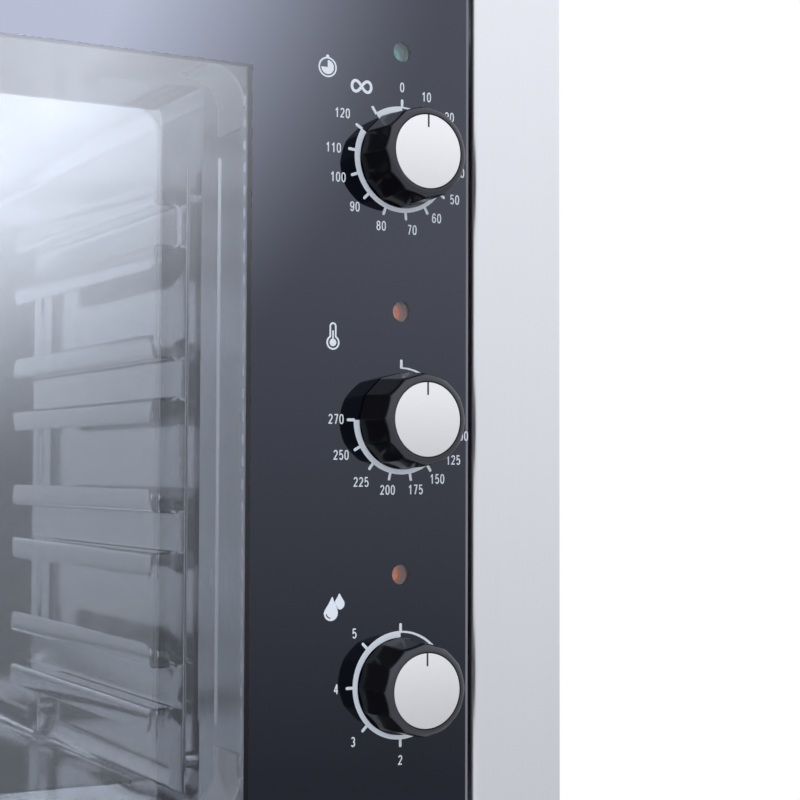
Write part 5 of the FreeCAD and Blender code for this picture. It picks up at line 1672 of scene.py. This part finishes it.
@dataclass
class Studio:
    """Camera, floor and light. Places here are metres. A level of the studio is (height, brightness)."""

    eye: Corner = (-0.11167, -0.99149, 0.28916)
    yaw: float = 29.18
    pitch: float = 2.331
    roll: float = 0.171
    lens: float = 78.27
    floor_r: float = 1.0
    floor_colour: Colour = (0.86, 0.86, 0.87)
    floor_rough: float = 0.7
    floor_fade: Point = (0.45, 0.80)
    tint: Colour = (0.99, 1.0, 1.035)
    levels: tuple[Point, ...] = (
        (-0.40, 0.25), (-0.173, 0.33), (-0.045, 0.70), (0.029, 0.92),
        (0.127, 1.26), (0.26, 1.38), (0.40, 0.6),
    )
    lowest: float = -0.4
    brightest: float = 2.0
    lobe_aim: Corner = (0.15, -0.93, 0.33)
    lobe_fade: Point = (0.932, 0.9812)
    lobe_power: float = 8.4
    ambient: Point = (0.54, 1.20)
    ambient_rise: Point = (-0.35, 0.35)
    inside_share: float = 0.73
    lamp_place: Corner = (-0.6, -1.8, 1.9)
    lamp_target: Corner = (0.0, 0.0, 0.3)
    lamp_size: float = 1.6
    lamp_watts: float = 7.0

    def build(self) -> None:
        """Set up the camera, the floor, the world and the lamp."""
        self.camera()
        self.floor()
        self.world()
        self.lamp()
        bpy.context.scene.view_settings.view_transform = "Standard"

    def camera(self) -> None:
        """Stand the camera where the photograph was taken."""
        data = bpy.data.cameras.new("camera")
        data.lens = self.lens
        data.sensor_width = 36.0
        data.clip_start = 0.01
        camera = bpy.data.objects.new("camera", data)
        turn = Matrix.Rotation(math.radians(-self.yaw), 4, "Z")
        turn = turn @ Matrix.Rotation(math.radians(90 + self.pitch), 4, "X")
        turn = turn @ Matrix.Rotation(math.radians(self.roll), 4, "Z")
        camera.matrix_world = Matrix.Translation(Vector(self.eye)) @ turn
        bpy.context.scene.collection.objects.link(camera)
        bpy.context.scene.camera = camera

    def floor(self) -> None:
        """Lay a pale floor that fades out round the oven."""
        material, board, shader = new_material("studio floor")
        away = board.vector("LENGTH", board.place()).outputs["Value"]
        fade = board.ranged(away, self.floor_fade, (1.0, 0.0), interpolation_type="SMOOTHSTEP")
        colour = (*self.floor_colour, 1.0)
        board.feed(shader, {"Base Color": colour, "Roughness": self.floor_rough, "Alpha": fade})
        mesh = bpy.data.meshes.new("floor")
        points = [(x, z, 0.0) for x, z in circle(0, 0, self.floor_r, 96)]
        mesh.from_pydata(points, [], [tuple(reversed(range(len(points))))])
        mesh.materials.append(material)
        floor = bpy.data.objects.new("floor", mesh)
        bpy.context.scene.collection.objects.link(floor)

    def backdrop(
        self, board: Board, aim: bpy.types.NodeSocket, height: bpy.types.NodeSocket,
    ) -> bpy.types.NodeSocket:
        """The studio that the glass mirrors: graded by height, with a bright lobe.

        Args:
            board: The world's board.
            aim: The direction of view.
            height: Its z.

        Returns:
            The colour.
        """
        ramp = board.add("ShaderNodeValToRGB", {0: board.ranged(height, (self.lowest, self.lowest + 1.0))})
        elements = ramp.color_ramp.elements
        while len(elements) < len(self.levels):
            elements.new(0.5)
        for element, (place, level) in zip(elements, self.levels):
            element.position = place - self.lowest
            element.color = (*(level / self.brightest,) * 3, 1.0)
        base = board.sum("MULTIPLY", ramp.outputs[0], self.brightest)
        lobe_aim = tuple(Vector(self.lobe_aim).normalized())
        facing = board.vector("DOT_PRODUCT", aim, lobe_aim).outputs["Value"]
        lobe = board.sum("POWER", board.ranged(facing, self.lobe_fade), 2.0)
        return board.scaled(self.tint, board.sum("ADD", base, board.sum("MULTIPLY", lobe, self.lobe_power)))

    def world(self) -> None:
        """White behind the oven, soft ambient light, and a graded studio in the reflections."""
        world = bpy.data.worlds.new("studio")
        bpy.context.scene.world = world
        world.use_nodes = True
        board = Board(world.node_tree)
        aim = board.vector("NORMALIZE", board.add("ShaderNodeTexCoord").outputs["Generated"]).outputs[0]
        height = board.add("ShaderNodeSeparateXYZ", {0: aim}).outputs["Z"]
        soft = board.scaled(self.tint, board.ranged(height, self.ambient_rise, self.ambient))
        path = board.add("ShaderNodeLightPath").outputs
        mirrored = board.sum("GREATER_THAN", path["Glossy Depth"], 0.5)
        spread = board.sum("GREATER_THAN", path["Diffuse Depth"], 0.5)
        plain = board.sum("SUBTRACT", 1.0, board.sum("MAXIMUM", spread, mirrored))
        through = board.sum("MULTIPLY", path["Is Transmission Ray"], plain)
        white = board.sum("MAXIMUM", path["Is Camera Ray"], through)
        inside = board.sum("GREATER_THAN", path["Transmission Depth"], 0.5)
        keep = board.sum("SUBTRACT", 1.0, board.sum("MULTIPLY", inside, self.inside_share))
        sharp = board.sum("MULTIPLY", mirrored, path["Is Singular Ray"])
        first = board.mixed(white, soft, (1.0, 1.0, 1.0, 1.0))
        second = board.mixed(board.sum("MULTIPLY", sharp, keep), first, self.backdrop(board, aim, height))
        board.feed(world.node_tree.nodes["Background"], {"Color": second, "Strength": 1.0})

    def lamp(self) -> None:
        """One large soft lamp above and in front."""
        data = bpy.data.lights.new("soft lamp", "AREA")
        data.shape = "SQUARE"
        data.size = self.lamp_size
        data.energy = self.lamp_watts
        lamp = bpy.data.objects.new("soft lamp", data)
        lamp.location = self.lamp_place
        lamp.rotation_euler = (Vector(self.lamp_target) - lamp.location).to_track_quat("-Z", "Y").to_euler()
        lamp.visible_glossy = False
        lamp.visible_camera = False
        bpy.context.scene.collection.objects.link(lamp)


def main() -> None:
    """Build the oven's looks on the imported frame."""
    logging.basicConfig(level=logging.INFO, format="%(message)s")
    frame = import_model()
    palette = Palette(TextureGroups())
    palette.mix()
    palette.dress(frame["nodes"])
    repeater = Repeater()
    DoorGlass().build(palette)
    DialPrint().build(palette, repeater)
    KnobSet().build(palette)
    PilotLamps().build(palette)
    TrayRacks().build(palette, repeater)
    Casing().build(palette, repeater, frame["nodes"])
    BackServices().build(palette, repeater)
    Studio().build()


if __name__ == "__main__":
    main()
